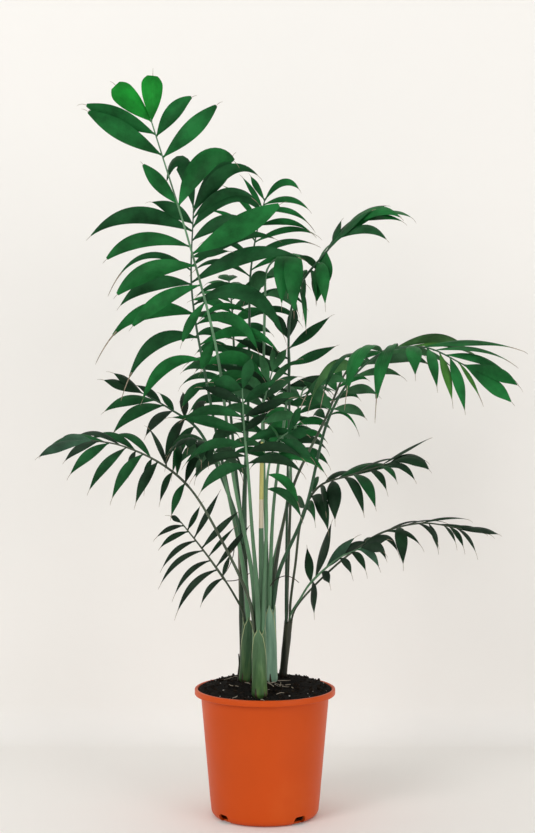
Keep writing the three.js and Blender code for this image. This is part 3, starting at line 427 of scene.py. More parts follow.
# The tint of each frond's two end leaflets, and then the tints that its others are dealt; the painted
# shade goes to the fronds inside and low in the plant, and the painted light to the top left frond's
# end leaflets and to some of the right long frond's.
TINT_OF = {
    "top_left": "bright mid mid", "top_centre": "deep mid deep deep", "back_upright": "mid mid deep",
    "centre_upright": "mid mid", "right_top": "mid deep mid", "centre_fan": "dark dark deep",
    "left_upper": "dark dark deep dusk", "left_long": "grey dark dusk deep",
    "left_low": "dusk dark dusk", "right_long": "mid lime mid mid deep",
    "right_behind": "deep deep mid", "right_mid": "dark dark dark deep", "right_low": "dusk dark dusk",
    "right_inner": "dusk dark dusk grey", "front_centre": "deep deep dark mid",
    "front_left": "dark dark deep", "front_right": "deep deep mid", "middle_high": "mid mid deep",
    "back_left": "deep deep mid", "back_right": "deep deep mid", "back_low": "dark dark deep",
    "back_high": "deep mid deep",
}


# ---- meshes ----
def polar(radius, turn):
    return radius * math.cos(turn), radius * math.sin(turn)


def circle(radius, sides):
    return [polar(radius, 2 * math.pi * k / sides) for k in range(sides)]


def arc(centre, radius, start, end, steps):
    """Points on an arc, its angles in degrees."""
    ways = (polar(radius, math.radians(mix(start, end, k / steps))) for k in range(steps + 1))
    return [(centre[0] + x, centre[1] + y) for x, y in ways]


def ring_at(centre, across, other, radius, sides):
    """A ring of points around a centre, in the plane of two ways."""
    angles = 2 * math.pi * np.arange(sides) / sides
    return (np.asarray(centre) + np.outer(radius * np.cos(angles), across)
            + np.outer(radius * np.sin(angles), other))


def add_object(name, data):
    added = bpy.data.objects.new(name, data)
    bpy.context.scene.collection.objects.link(added)
    return added


class Shells:
    """Closed shells in millimetres, collected for one piece."""

    def __init__(self):
        self.points, self.faces, self.slots, self.marks = [], [], [], []

    def loft(self, rings, slot_of=None, mark_of=None):
        """A shell through rings with the same number of points, closed at both ends."""
        first = len(self.points)
        sides = len(rings[0])
        for r, ring in enumerate(rings):
            self.points.extend(ring)
            self.marks.extend(mark_of(r, k) if mark_of else (0, 0, 0) for k in range(sides))
        for r in range(len(rings) - 1):
            below = first + r * sides
            for k in range(sides):
                after = (k + 1) % sides
                self.faces.append((below + k, below + after, below + sides + after, below + sides + k))
                self.slots.append(slot_of(r, k) if slot_of else 0)
        last = first + (len(rings) - 1) * sides
        self.faces.append(tuple(range(first + sides - 1, first - 1, -1)))
        self.faces.append(tuple(range(last, last + sides)))
        self.slots.extend((0, 0))

    def add(self, other):
        first = len(self.points)
        self.points += other.points
        self.faces += [tuple(first + point for point in face) for face in other.faces]
        self.slots += other.slots
        self.marks += other.marks

    def tube(self, line, radii, sides):
        """A round tube along a line of points."""
        line = np.asarray(line, float)
        across = np.array((1.0, 0.2, 0.1))
        rings = []
        for k, centre in enumerate(line):
            along = unit(line[min(k + 1, len(line) - 1)] - line[max(k - 1, 0)])
            across = unit(across - across.dot(along) * along)
            rings.append(ring_at(centre, across, np.cross(along, across), radii[k], sides))
        self.loft(rings)

    def mesh(self, name):
        mesh = bpy.data.meshes.new(name)
        mesh.from_pydata([tuple(np.asarray(p) * MM) for p in self.points], [], self.faces)
        return mesh

    def piece(self, name, slot, materials, nodes=(), smooth=True, crease=0):
        mesh = self.mesh(name)
        for material in materials:
            mesh.materials.append(material)
        mesh.polygons.foreach_set("material_index", self.slots)
        mesh.polygons.foreach_set("use_smooth", [smooth] * len(mesh.polygons))
        mark = mesh.attributes.new("mark", "FLOAT_VECTOR", "POINT")
        mark.data.foreach_set("vector", np.asarray(self.marks, float).ravel())
        mesh.validate()
        mesh.update()
        if crease:
            mesh.set_sharp_from_angle(angle=math.radians(crease))
        piece = add_object(name, mesh)
        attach(piece, "root")
        if nodes:
            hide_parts(*nodes)
        return piece


# ---- materials ----
# The sockets of a mix node for its share and for the two colours it mixes, and its colour output.
MIX_SHARE, MIX_BELOW, MIX_ABOVE, MIX_RESULT = 0, 6, 7, 2
# Materials with one pattern, of three colours at these places on it: the roughness and the
# specular; the pattern's scale, detail, roughness and stretch; and its relief's strength and depth.
GRAINED = {
    "dry": dict(gloss=(0.8, 0.5), noise=(160, 3), places=(0.3, 0.55, 0.8)),
    "petiole": dict(gloss=(0.42, 0.3), noise=(60, 4, 0.55, (1, 1, 0.12)), places=(0.3, 0.5, 0.75),
                    relief=(0.35, 0.0006)),
    "stem": dict(gloss=(0.5, 0.3), noise=(70, 6, 0.6, (1, 1, 0.08)), places=(0.32, 0.5, 0.68),
                 relief=(0.6, 0.0008)),
    "compost": dict(gloss=(0.95, 0.12), noise=(220, 6, 0.7), places=(0.3, 0.52, 0.8),
                    relief=(0.7, 0.002)),
}
UNDERLEAF = (0.06, 0.13, 0.07)


class Skin:
    """A material, with the patterns that are laid on its shader."""

    def __init__(self, name, colour, roughness, specular=0.5):
        self.material = bpy.data.materials.new(name)
        self.material.use_nodes = True
        self.nodes, self.links = self.material.node_tree.nodes, self.material.node_tree.links
        self.shader = self.nodes["Principled BSDF"].inputs
        self.shader["Base Color"].default_value = (*colour, 1)
        self.shader["Roughness"].default_value = roughness
        self.shader["Specular IOR Level"].default_value = specular

    def node(self, kind, **values):
        node = self.nodes.new(kind)
        for name, value in values.items():
            node.inputs[name.replace("_", " ")].default_value = value
        return node

    def noise(self, scale, detail=4, roughness=0.55, stretch=None):
        """Noise in the object's own metres, stretched along an axis where asked."""
        source = self.node("ShaderNodeTexCoord").outputs["Object"]
        if stretch:
            mapping = self.node("ShaderNodeMapping", Scale=stretch)
            self.links.new(source, mapping.inputs["Vector"])
            source = mapping.outputs["Vector"]
        noise = self.node("ShaderNodeTexNoise", Scale=scale, Detail=detail, Roughness=roughness)
        self.links.new(source, noise.inputs["Vector"])
        return noise.outputs["Fac"]

    def ramp(self, source, places, colours):
        ramp = self.node("ShaderNodeValToRGB")
        elements = ramp.color_ramp.elements
        elements.new(0.5)
        for element, place, colour in zip(elements, places, colours):
            element.position = place
            element.color = (*colour, 1)
        self.links.new(source, ramp.inputs["Fac"])
        return ramp.outputs["Color"]

    def turn(self, below, above):
        """One colour that turns into another on a stem, between two heights."""
        low, high = SHEATH["turn"]
        split = self.node("ShaderNodeSeparateXYZ")
        height = self.node("ShaderNodeMapRange", From_Min=low * MM, From_Max=high * MM)
        blend = self.node("ShaderNodeMix")
        blend.data_type = "RGBA"
        self.links.new(self.node("ShaderNodeTexCoord").outputs["Object"], split.inputs["Vector"])
        self.links.new(split.outputs["Z"], height.inputs["Value"])
        self.links.new(height.outputs["Result"], blend.inputs[MIX_SHARE])
        self.links.new(below, blend.inputs[MIX_BELOW])
        self.links.new(above, blend.inputs[MIX_ABOVE])
        return blend.outputs[MIX_RESULT]

    def paint(self, colour):
        self.links.new(colour, self.shader["Base Color"])

    def roughen(self, source, low, high):
        spread = self.node("ShaderNodeMapRange", To_Min=low, To_Max=high)
        self.links.new(source, spread.inputs["Value"])
        self.links.new(spread.outputs["Result"], self.shader["Roughness"])

    def emboss(self, height, strength, distance):
        bump = self.node("ShaderNodeBump", Strength=strength, Distance=distance)
        self.links.new(height, bump.inputs["Height"])
        self.links.new(bump.outputs["Normal"], self.shader["Normal"])


def shades(colour, low, high):
    """A colour between a darker and a paler one."""
    return [tuple(min(1, channel * factor) for channel in colour) for factor in (low, 1, high)]


def grained_material(kind, name, colours, upper=None):
    """A material with one pattern; on a stem its colours may turn into the upper ones."""
    look = GRAINED[kind]
    skin = Skin(name, colours[1], *look["gloss"])
    grain = skin.noise(*look["noise"])
    colour = skin.ramp(grain, look["places"], colours)
    skin.paint(skin.turn(colour, skin.ramp(grain, look["places"], upper)) if upper else colour)
    if "relief" in look:
        skin.emboss(grain, *look["relief"])
    return skin.material


def leaf_material(name, colour, under=False):
    """A leaflet's upper or lower side: long fine nerves, soft gloss above and paler matt below."""
    if under:
        colour = tuple(mix(channel, pale, 0.45) for channel, pale in zip(colour, UNDERLEAF))
    skin = Skin(name, colour, 0.42, specular=0.06 if under else 0.09)
    skin.paint(skin.ramp(skin.noise(24, 5, 0.6), (0.34, 0.5, 0.66), shades(colour, 0.55, 1.5)))
    low, high = (0.55, 0.68) if under else (0.38, 0.5)
    skin.roughen(skin.noise(60, 2), low, high)
    mark = skin.node("ShaderNodeAttribute")
    mark.attribute_name = "mark"
    nerves = skin.node("ShaderNodeTexWave", Scale=1.6, Distortion=0.4)
    nerves.bands_direction = "X"
    skin.links.new(mark.outputs["Vector"], nerves.inputs["Vector"])
    skin.emboss(nerves.outputs["Fac"], 0.25, 0.0004)
    return skin.material


def pot_material():
    colour, pale = (0.57, 0.070, 0.004), (0.61, 0.092, 0.009)
    skin = Skin("pot_plastic", colour, 0.4, specular=0.18)
    skin.paint(skin.ramp(skin.noise(9, 5), (0.3, 0.55, 0.8), [*shades(colour, 0.93, 1)[:2], pale]))
    scuff = skin.noise(140, 5, 0.65, stretch=(1, 1, 0.3))
    skin.roughen(scuff, 0.34, 0.50)
    skin.emboss(scuff, 0.06, 0.0004)
    return skin.material


# ---- pot ----
POT_SIDES = 180
WALL_STEPS = 12
# Only on the fine pot: how far its flat underside reaches; the small radii below the collar, of the
# collar's edges and of the lip; the step from the wall to the collar's underside; the heights over
# that underside where the inner wall steps in; how far inside the foot the floor ends; and how
# round a notch's corners are beside its height.
UNDERSIDE = 40
FILLET, COLLAR_ROUND, LIP_ROUND = 1.4, 1.6, 1.2
STEP = 0.2
LEDGE = (2.4, 0.6)
FLOOR_INSET = 8
NOTCH_ROUND = 0.45


def pot_profile():
    """The pot's outline from its underside, round the outside and the lip, to the floor inside."""
    foot, neck, collar = POT["foot_radius"], POT["neck_radius"], POT["collar_radius"]
    top, wall, base, heel = POT["height"], POT["wall"], POT["base"], POT["foot_round"]
    under = top - POT["collar_height"]
    inner = collar - POT["collar_wall"]
    edge = collar - COLLAR_ROUND
    turn = under + STEP - FILLET
    profile = [(UNDERSIDE, 0)] + arc((foot - heel - CLEARANCE, heel), heel, -90, 0, 8)
    profile += [(mix(foot, neck, k / WALL_STEPS), mix(heel, turn, k / WALL_STEPS))
                for k in range(1, WALL_STEPS + 1)]
    profile += arc((neck + STEP + FILLET, turn), FILLET, 180, 90, 3)
    profile += arc((edge, under + STEP + COLLAR_ROUND), COLLAR_ROUND, -90, 0, 4)
    profile += arc((edge, top - COLLAR_ROUND), COLLAR_ROUND, 0, 90, 5)
    profile += arc((inner + LIP_ROUND, top - LIP_ROUND), LIP_ROUND, 90, 180, 4)
    profile += [(inner, under + LEDGE[0]), (neck - wall, under + LEDGE[1]), (foot - wall, heel + 1)]
    return profile + [(foot - FLOOR_INSET, base)]


def make_pot():
    shells = Shells()
    shells.loft([[(*side, z) for side in circle(r, POT_SIDES)] for r, z in pot_profile()])
    pot = shells.piece("pot_shell", "pot_plastic", [pot_material()], ["pot"])
    cutter = make_notches()
    cut = pot.modifiers.new("notches", "BOOLEAN")
    cut.object = cutter
    cut.operation = "DIFFERENCE"
    cut.solver = "EXACT"
    bpy.context.view_layer.objects.active = pot
    bpy.ops.object.modifier_apply(modifier=cut.name)
    bpy.data.objects.remove(cutter)
    pot.data.set_sharp_from_angle(angle=math.radians(50))


def make_notches():
    """Arched slots through the foot of the pot's wall, to be cut out of it."""
    shells = Shells()
    half, height = POT["notch_width"] / 2, POT["notch_height"]
    corner = height * NOTCH_ROUND
    outline = [(half, -1), (half, height - corner)]
    outline += arc((half - corner, height - corner), corner, 0, 90, 6)[1:]
    outline += arc((-half + corner, height - corner), corner, 90, 180, 6) + [(-half, -1)]
    for angle in POT["notch_angles"]:
        out = np.array((*polar(1, math.radians(angle - 90)), 0))
        along = np.array((-out[1], out[0], 0))
        shells.loft([[out * reach + along * x + np.array((0, 0, z)) for x, z in outline]
                     for reach in (POT["foot_radius"] - POT["foot_round"],
                                   POT["foot_radius"] + POT["foot_round"])])
    return add_object("notches", shells.mesh("notches"))


# ---- compost ----
SOIL_RADIUS = POT["collar_radius"] - POT["collar_wall"] - CLEARANCE * 2
COMPOST = dict(rings=56, sides=168, rough=0.35, edge_damp=0.2)
LUMPS = dict(count=140, height=1.6, sizes=(2.0, 7.0))
# How many clods and pale grains there are, and their smallest and largest size; and a crumb's
# form: the height and the radius of each of its rings.
CRUMBS = {"clods": (420, 1.0, 4.2), "grains": (26, 0.7, 1.7)}
CRUMB = ((-0.98, 0.25), (-0.55, 0.8), (0.1, 1.0), (0.65, 0.7), (0.98, 0.22))
CRUMB_SIDES = 7
CRUMB_LAY = dict(reach=0.93, rise=0.15, breadth=(0.45, 0.8), height=(0.35, 0.7), rough=(0.8, 1.15))
COMPOST_LOOKS = {
    "top": ("compost", [(0.002, 0.002, 0.0015), (0.006, 0.005, 0.004), (0.020, 0.014, 0.010)]),
    "clods": ("bark", [(0.004, 0.003, 0.002), (0.012, 0.008, 0.005), (0.050, 0.034, 0.022)]),
    "grains": ("perlite", [(0.30, 0.28, 0.24), (0.45, 0.42, 0.38), (0.62, 0.60, 0.56)]),
    "roots": ("root", [(0.25, 0.20, 0.15), (0.42, 0.36, 0.28), (0.60, 0.55, 0.47)]),
}
ROOTS = dict(count=16, points=14, least=5, from_middle=10, from_edge=14, margin=5, stride=1.8,
             bend=0.28, height=0.7, radii=(0.55, 0.25), sides=6)


def soil_height(x, y):
    edge = max(0, (math.hypot(x, y) - SOIL["flat_radius"]) / (SOIL_RADIUS - SOIL["flat_radius"]))
    middle = SOIL["level"] + SOIL["slope"] * y
    return mix(middle, SOIL["wall_level"] + SOIL["wall_slope"] * y, edge ** 1.5)


def make_compost():
    rng = np.random.default_rng(7)
    count, rings, sides = LUMPS["count"], COMPOST["rings"], COMPOST["sides"]
    # The last of each lump's four draws isn't used.
    lumps = rng.uniform(-1, 1, (count, 4))[:, :3] * (SOIL_RADIUS, SOIL_RADIUS, LUMPS["height"])
    sizes = rng.uniform(*LUMPS["sizes"], count)

    def relief(x, y):
        near = np.hypot(lumps[:, 0] - x, lumps[:, 1] - y)
        return float(np.sum(lumps[:, 2] * np.exp(-(near / sizes) ** 2)))

    def lay(x, y, above):
        return np.array((x, y, soil_height(x, y) + relief(x, y) + above))

    neck = POT["height"] - POT["collar_height"] + POT["wall"] * 1.5
    rows = [[(x, y, neck) for x, y in circle(SOIL_RADIUS, sides)]]
    for r in range(rings, 0, -1):
        rough = rng.normal(0, COMPOST["rough"], sides)
        damp = COMPOST["edge_damp"] if r == rings else 1
        rows.append([(x, y, soil_height(x, y) + (relief(x, y) + bump) * damp)
                     for (x, y), bump in zip(circle(SOIL_RADIUS * r / rings, sides), rough)])
    pieces = {name: Shells() for name in COMPOST_LOOKS}
    pieces["top"].loft(rows)
    add_crumbs(pieces, rng, lay)
    for name, shells in pieces.items():
        material = grained_material("compost", *COMPOST_LOOKS[name])
        shells.piece(f"compost_{name}", "compost", [material], ["soil"] if name == "top" else [],
                     smooth=name not in CRUMBS)


def add_crumbs(pieces, rng, lay):
    """Clods and bark in the compost, pale grains, and roots that lie on it."""
    for name, (count, low, high) in CRUMBS.items():
        for _ in range(count):
            radius = SOIL_RADIUS * math.sqrt(rng.uniform(0, CRUMB_LAY["reach"]))
            x, y = polar(radius, rng.uniform(0, 2 * math.pi))
            size = low + (high - low) * rng.uniform() ** 2
            add_lump(pieces[name], rng, lay(x, y, size * CRUMB_LAY["rise"]), size)
    for _ in range(ROOTS["count"]):
        turn, heading = rng.uniform(0, 2 * math.pi, 2)
        radius = rng.uniform(ROOTS["from_middle"], SOIL_RADIUS - ROOTS["from_edge"])
        at = np.array(polar(radius, turn))
        line = []
        for _ in range(ROOTS["points"]):
            line.append(lay(*at, ROOTS["height"]))
            heading += rng.normal(0, ROOTS["bend"])
            at = at + polar(ROOTS["stride"], heading)
            if math.hypot(*at) > SOIL_RADIUS - ROOTS["margin"]:
                break
        if len(line) >= ROOTS["least"]:
            pieces["roots"].tube(line, np.linspace(*ROOTS["radii"], len(line)), ROOTS["sides"])


def add_lump(shells, rng, centre, size):
    """A rough stone-like crumb."""
    axes = np.linalg.qr(rng.normal(size=(3, 3)))[0]
    breadth, height = rng.uniform(*CRUMB_LAY["breadth"]), rng.uniform(*CRUMB_LAY["height"])
    stretch = np.array((1, breadth, height)) * size
    shells.loft([[centre + (np.array((x, y, z)) * stretch * rng.uniform(*CRUMB_LAY["rough"])) @ axes
                  for x, y in circle(radius, CRUMB_SIDES)] for z, radius in CRUMB])


# ---- stems ----
# The body of each stem, inside its sheaths: how slim it is beside the part's solid, how deep it
# stands in the compost, how its foot is flared and rounded, its domed top, and a cane's rings.
SLIM = {"front": 0.78, "left": 0.84, "centre": 0.86, "back": 0.90, "right": 0.72}
CORE = dict(steps=60, sides=28, sunk=4, flare_share=0.25, foot_round=9, foot_least=0.35, dome=3,
            dome_turns=(20, 40, 60, 80), node=0.04, nodes=6, wave=0.015, waves=23)
# A sheath clasps its stem at the foot, opens upwards and ends at a point below its petiole.
SHEATH = dict(wall=0.7, layer=0.25, foot_angle=172, tip_angle=24, narrow_power=0.9, tip_taper=7,
              tip_end=1.02, margin=0.9, flare=0.4, over=8, sunk=3, panels=20, steps=40, turn=(180, 250))
HUSK = dict(count=9, height=(4, 15), angle=(8, 20), tip_angle=3)
# The right stem's tone "dark" is partly its cane's own deep brown-green and partly painted shade on its
# unlit side; the tone "tan" is partly the cane's own brown and partly a painted highlight.
STEM_TONES = {
    "fresh": [(0.014, 0.052, 0.009), (0.042, 0.110, 0.022), (0.130, 0.230, 0.050)],
    "deep": [(0.006, 0.030, 0.008), (0.018, 0.062, 0.016), (0.080, 0.150, 0.035)],
    "pale": [(0.085, 0.180, 0.115), (0.200, 0.340, 0.235), (0.340, 0.480, 0.370)],
    "olive_shaded": [(0.006, 0.009, 0.004), (0.016, 0.024, 0.010), (0.090, 0.105, 0.055)],
    "dark": [(0.005, 0.006, 0.004), (0.016, 0.018, 0.011), (0.070, 0.072, 0.045)],
    "tan": [(0.030, 0.030, 0.020), (0.150, 0.145, 0.105), (0.340, 0.330, 0.260)],
    "edge": [(0.160, 0.200, 0.080), (0.360, 0.400, 0.200), (0.560, 0.580, 0.400)],
    "husk": [(0.006, 0.004, 0.002), (0.030, 0.018, 0.010), (0.160, 0.110, 0.070)],
}
# What a stem's skin turns into towards its top.
UPPER_TONES = {
    "fresh": [(0.030, 0.075, 0.030), (0.070, 0.150, 0.070), (0.190, 0.300, 0.190)],
    "deep": [(0.010, 0.036, 0.014), (0.030, 0.078, 0.034), (0.100, 0.170, 0.080)],
    "olive_shaded": [(0.006, 0.018, 0.006), (0.014, 0.036, 0.014), (0.050, 0.090, 0.045)],
}
# The back stem's tone "olive", below and above, is partly its own brown-green and partly painted shade.
TONE_OF = {"front": "fresh", "left": "deep", "centre": "pale", "back": "olive_shaded", "right": "dark"}
WOODY = ("back", "right")
# The fronds whose sheath is tan, whatever the tone of their stem: partly the sheath's own light brown
# and partly a painted highlight.
HIGHLIGHTED_SHEATHS = ("right_low", "left_upper", "right_mid")


def stem_at(name, z):
    """The middle and the radius of a stem at a height."""
    stem = STEMS[name]
    start = np.array((*stem["foot"], soil_height(*stem["foot"]) - CORE["sunk"]))
    end = np.array(stem["top"], float)
    u = (z - start[2]) / (end[2] - start[2])
    flare = mix(stem["flare"], 1, max(0, min(1, u / CORE["flare_share"]))) * SLIM[name]
    foot = max(CORE["foot_least"], min(1, (z - start[2]) / CORE["foot_round"]))
    radius = mix(*stem["radius"], max(0, min(1, u))) * flare * math.sin(math.pi / 2 * foot)
    return mix(start, end, u), radius


def add_core(shells, name, slot):
    """A stem's round body, with a low dome in place of its cut top."""
    low, high = soil_height(*STEMS[name]["foot"]) - CORE["sunk"], STEMS[name]["top"][2]
    rings = []

    def add_ring(centre, radius):
        rings.append(ring_at(centre, (1, 0, 0), (0, 1, 0), radius, CORE["sides"]))

    for k in range(CORE["steps"] + 1):
        u = k / CORE["steps"]
        centre, radius = stem_at(name, mix(low, high, u))
        if name in WOODY:
            radius *= (1 + CORE["node"] * math.cos(2 * math.pi * u * CORE["nodes"])
                       + CORE["wave"] * math.sin(CORE["waves"] * u))
        add_ring(centre, radius)
    for turn in CORE["dome_turns"]:
        narrow, rise = polar(1, math.radians(turn))
        add_ring(centre + np.array((0, 0, CORE["dome"] * rise)), radius * narrow)
    shells.loft(rings, slot_of=lambda r, k: slot)


def add_sheath(shells, name, facing, layer, low, high, angles, slots):
    """A partial shell round a stem, facing one way, which narrows to its tip."""
    panels, steps = SHEATH["panels"], SHEATH["steps"]
    places = np.linspace(-1, 1, panels - 1)
    rings = []
    for k in range(steps + 1):
        u = k / steps
        centre, radius = stem_at(name, mix(low, high, u))
        radius += layer
        taper = min(1, (SHEATH["tip_end"] - u) * SHEATH["tip_taper"])
        half = mix(*angles, u ** SHEATH["narrow_power"]) * taper
        edge = min(half / 4, math.degrees(SHEATH["margin"] / radius))
        spread = np.concatenate(([-half], places * (half - edge), [half]))
        turn = np.radians(facing + spread)
        ways = np.stack((np.cos(turn), np.sin(turn), 0 * turn), axis=1)
        stand = radius + SHEATH["flare"] * (spread / half) ** 8
        wall = SHEATH["wall"] * (1 - 0.5 * (spread / half) ** 4)
        outer = centre + ways * (stand + wall)[:, None]
        inner = centre + ways * stand[:, None]
        rings.append([*outer, *inner[::-1]])

    def slot_of(r, k):
        place = k if k <= panels else 2 * panels + 1 - k
        return slots[1] if place < 1 or place >= panels - 1 else slots[0]

    shells.loft(rings, slot_of=slot_of)


def make_stems():
    rng = np.random.default_rng(11)
    tones = list(STEM_TONES)
    materials = [grained_material("stem", f"stem_{tone}", colours, UPPER_TONES.get(tone))
                 for tone, colours in STEM_TONES.items()]
    for name, stem in STEMS.items():
        shells = Shells()
        add_core(shells, name, tones.index(TONE_OF[name]))
        ground = soil_height(*stem["foot"])
        low, high = ground - SHEATH["sunk"], stem["top"][2] + SHEATH["over"]
        owners = sorted((owner for owner, data in FRONDS.items() if data["stem"] == name),
                        key=lambda owner: math.sin(math.radians(FRONDS[owner]["slot"])), reverse=True)
        for layer, owner in enumerate(owners):
            # A tan sheath is partly a painted highlight; the right stem's other sheaths are partly
            # painted shade.
            tone_here = "tan" if owner in HIGHLIGHTED_SHEATHS else TONE_OF[name]
            slots = [tones.index(tone) for tone in (tone_here, tone_here if name in WOODY else "edge")]
            add_sheath(shells, name, FRONDS[owner]["slot"], SHEATH["layer"] * layer, low, high,
                       (SHEATH["foot_angle"], SHEATH["tip_angle"]), slots)
        for _ in range(HUSK["count"]):
            add_sheath(shells, name, rng.uniform(0, 360),
                       SHEATH["layer"] * (len(owners) + rng.uniform()),
                       low, ground + rng.uniform(*HUSK["height"]),
                       (rng.uniform(*HUSK["angle"]), HUSK["tip_angle"]), [tones.index("husk")] * 2)
        shells.piece(f"stem_{name}_skin", "cane" if name in WOODY else "sheath", materials,
                     [f"stem_{name}"], crease=60)


# The dead shoot beside the stems and the dry threads between them, each with its points and its
# radius at both ends.
DEAD = [
    ([(-37, 22, 170), (-36, 22, 186), (-35, 22, 200), (-36, 21, 213)], 2.0, 0.8),
    ([(7, 0, 308), (12, 0, 315), (20, 0, 320), (29, 0, 322), (38, 0, 319), (46, 0, 313)], 0.8, 0.5),
    ([(-54, 10, 314), (-44, 12, 314), (-34, 14, 316), (-24, 14, 322), (-14, 14, 329)], 0.7, 0.5),
    ([(-41, 0, 370), (-43, -2, 350), (-49, -4, 334), (-57, -6, 322)], 0.7, 0.4),
]
DEAD_TONES = [(0.008, 0.007, 0.005), (0.022, 0.018, 0.012), (0.10, 0.08, 0.055)]
DEAD_STEPS = 24
DEAD_SIDES = 8


def make_dead():
    shells = Shells()
    for points, foot, tip in DEAD:
        rib = Rib(points)
        line = [rib.point(k / DEAD_STEPS) for k in range(DEAD_STEPS + 1)]
        shells.tube(line, np.linspace(foot, tip, len(line)), DEAD_SIDES)
    shells.piece("dead_shoots", "cane", [grained_material("stem", "dead", DEAD_TONES)])


# ---- ribs ----
RIB_TONES = {
    "fresh": (0.088, 0.190, 0.098), "deep": (0.028, 0.078, 0.038), "brown": (0.052, 0.070, 0.042),
    "yellow": (0.50, 0.47, 0.16), "cream": (0.62, 0.55, 0.40),
}
# The ribs that aren't fresh.
RIB_TONE_OF = {
    "deep": ("top_centre", "left_upper", "right_top", "right_long", "back_left", "back_high",
             "back_upright"),
    "brown": ("left_long", "left_low", "right_mid", "right_low", "right_behind", "back_low"),
}
# Where a petiole has turned: its frond, the heights from and to, and the tone.
TURNED = [("middle_high", 384, 426, "cream"), ("middle_high", 426, 504, "yellow")]
RIB_BASE = dict(swell=0.75, rise=22, reach=85, sunk=6)
# How thick a rib is beside the part's solid.
RIB_SLIM = 0.92
RIB_SIDES = 10
RIB_STEPS = 64
# How stout a petiole is, and how much it swells at its foot, where these aren't plain.
STOUT_OF = {"middle_high": (1.35, 0.75), "left_low": (0.72, 0), "right_low": (0.8, 0.1),
            "right_inner": (0.8, 0.1), "right_mid": (0.9, 0.3), "right_top": (0.9, 0.4),
            "left_long": (0.8, 0.3)}


def rib_tone(name, height):
    for owner, low, high, turned in TURNED:
        if owner == name and low <= height < high:
            return turned
    return next((tone for tone, owners in RIB_TONE_OF.items() if name in owners), "fresh")


def make_limb(name, rib, foot_radius):
    """A petiole and its rachis as one tapering limb, which swells towards its foot."""
    across = np.array((1.0, 0, 0))
    tones = list(RIB_TONES)
    stout, grown = STOUT_OF.get(name, (1, RIB_BASE["swell"]))
    rings, slots = [], []
    for k in range(-1, RIB_STEPS + 1):
        at = max(0, k / RIB_STEPS)
        along = rib.tangent(at)
        centre = rib.point(at) - along * (RIB_BASE["sunk"] if k < 0 else 0)
        across = unit(across - across.dot(along) * along)
        if at < rib.crown:
            above = at * rib.total
            swollen = grown * min(1, above / RIB_BASE["rise"]) * math.exp(-above / RIB_BASE["reach"])
            radius = mix(foot_radius, PETIOLE["crown_radius"], at / rib.crown) * stout * (1 + swollen)
        else:
            share = (at - rib.crown) / (1 - rib.crown)
            radius = mix(PETIOLE["crown_radius"], PETIOLE["tip_radius"], share)
        rings.append(ring_at(centre, across, np.cross(along, across), radius * RIB_SLIM, RIB_SIDES))
        slots.append(tones.index(rib_tone(name, centre[2])))
    limb = Shells()
    limb.loft(rings, slot_of=lambda r, k: slots[r])
    return limb


# ---- leaflets ----
BLADE = dict(panels=6, fold=0.20, pleat=0.03, thickness=0.5, slim=0.8, root_half=1.3, root_taper=3,
             tail_from=0.95, tail_half=0.4, tail_share=0.22, tail_widen=0.7)
# Where the seeds of the looks' random numbers start; those of the shapes' ones start at 0.
LOOK_SEED = 500000
THREAD = dict(hang=(0.05, 0.12), links=(2, 5), link=1.5, end=0.15, sides=6)
DRY_TONES = [(0.16, 0.115, 0.075), (0.30, 0.24, 0.17), (0.45, 0.40, 0.32)]
# A leaflet's surface for finding its room: every third of its rows, and none of the first six
# beside the leaflets of its own frond, which it meets at the rib.
SHEET = dict(stride=3, free_from=6, least=0.06)


class Body:
    """A surface that leaflets must stay clear of."""

    def __init__(self, points, faces):
        points = np.asarray(points)
        self.low, self.high = points.min(axis=0) - CLEARANCE, points.max(axis=0) + CLEARANCE
        self.tree = BVHTree.FromPolygons([tuple(p) for p in points], faces)

    def touches(self, other):
        if np.any(self.low > other.high) or np.any(other.low > self.high):
            return False
        return bool(self.tree.overlap(other.tree))


def leaflet_sheet(rows, leaflet, first):
    """A coarse surface of a leaflet, for finding its room."""
    points = []
    for k in range(first, len(rows), SHEET["stride"]):
        centre, across, up = rows[k]
        half = 0.5 * leaflet["width"] * max(SHEET["least"], swell(k / (len(rows) - 1), leaflet))
        points += [centre - across * half, centre + up * LEAFLET["thickness"], centre + across * half]
    firsts = [row + k for row in range(0, len(points) - 3, 3) for k in (0, 1)]
    return Body(points, [(a, a + 1, a + 4, a + 3) for a in firsts])


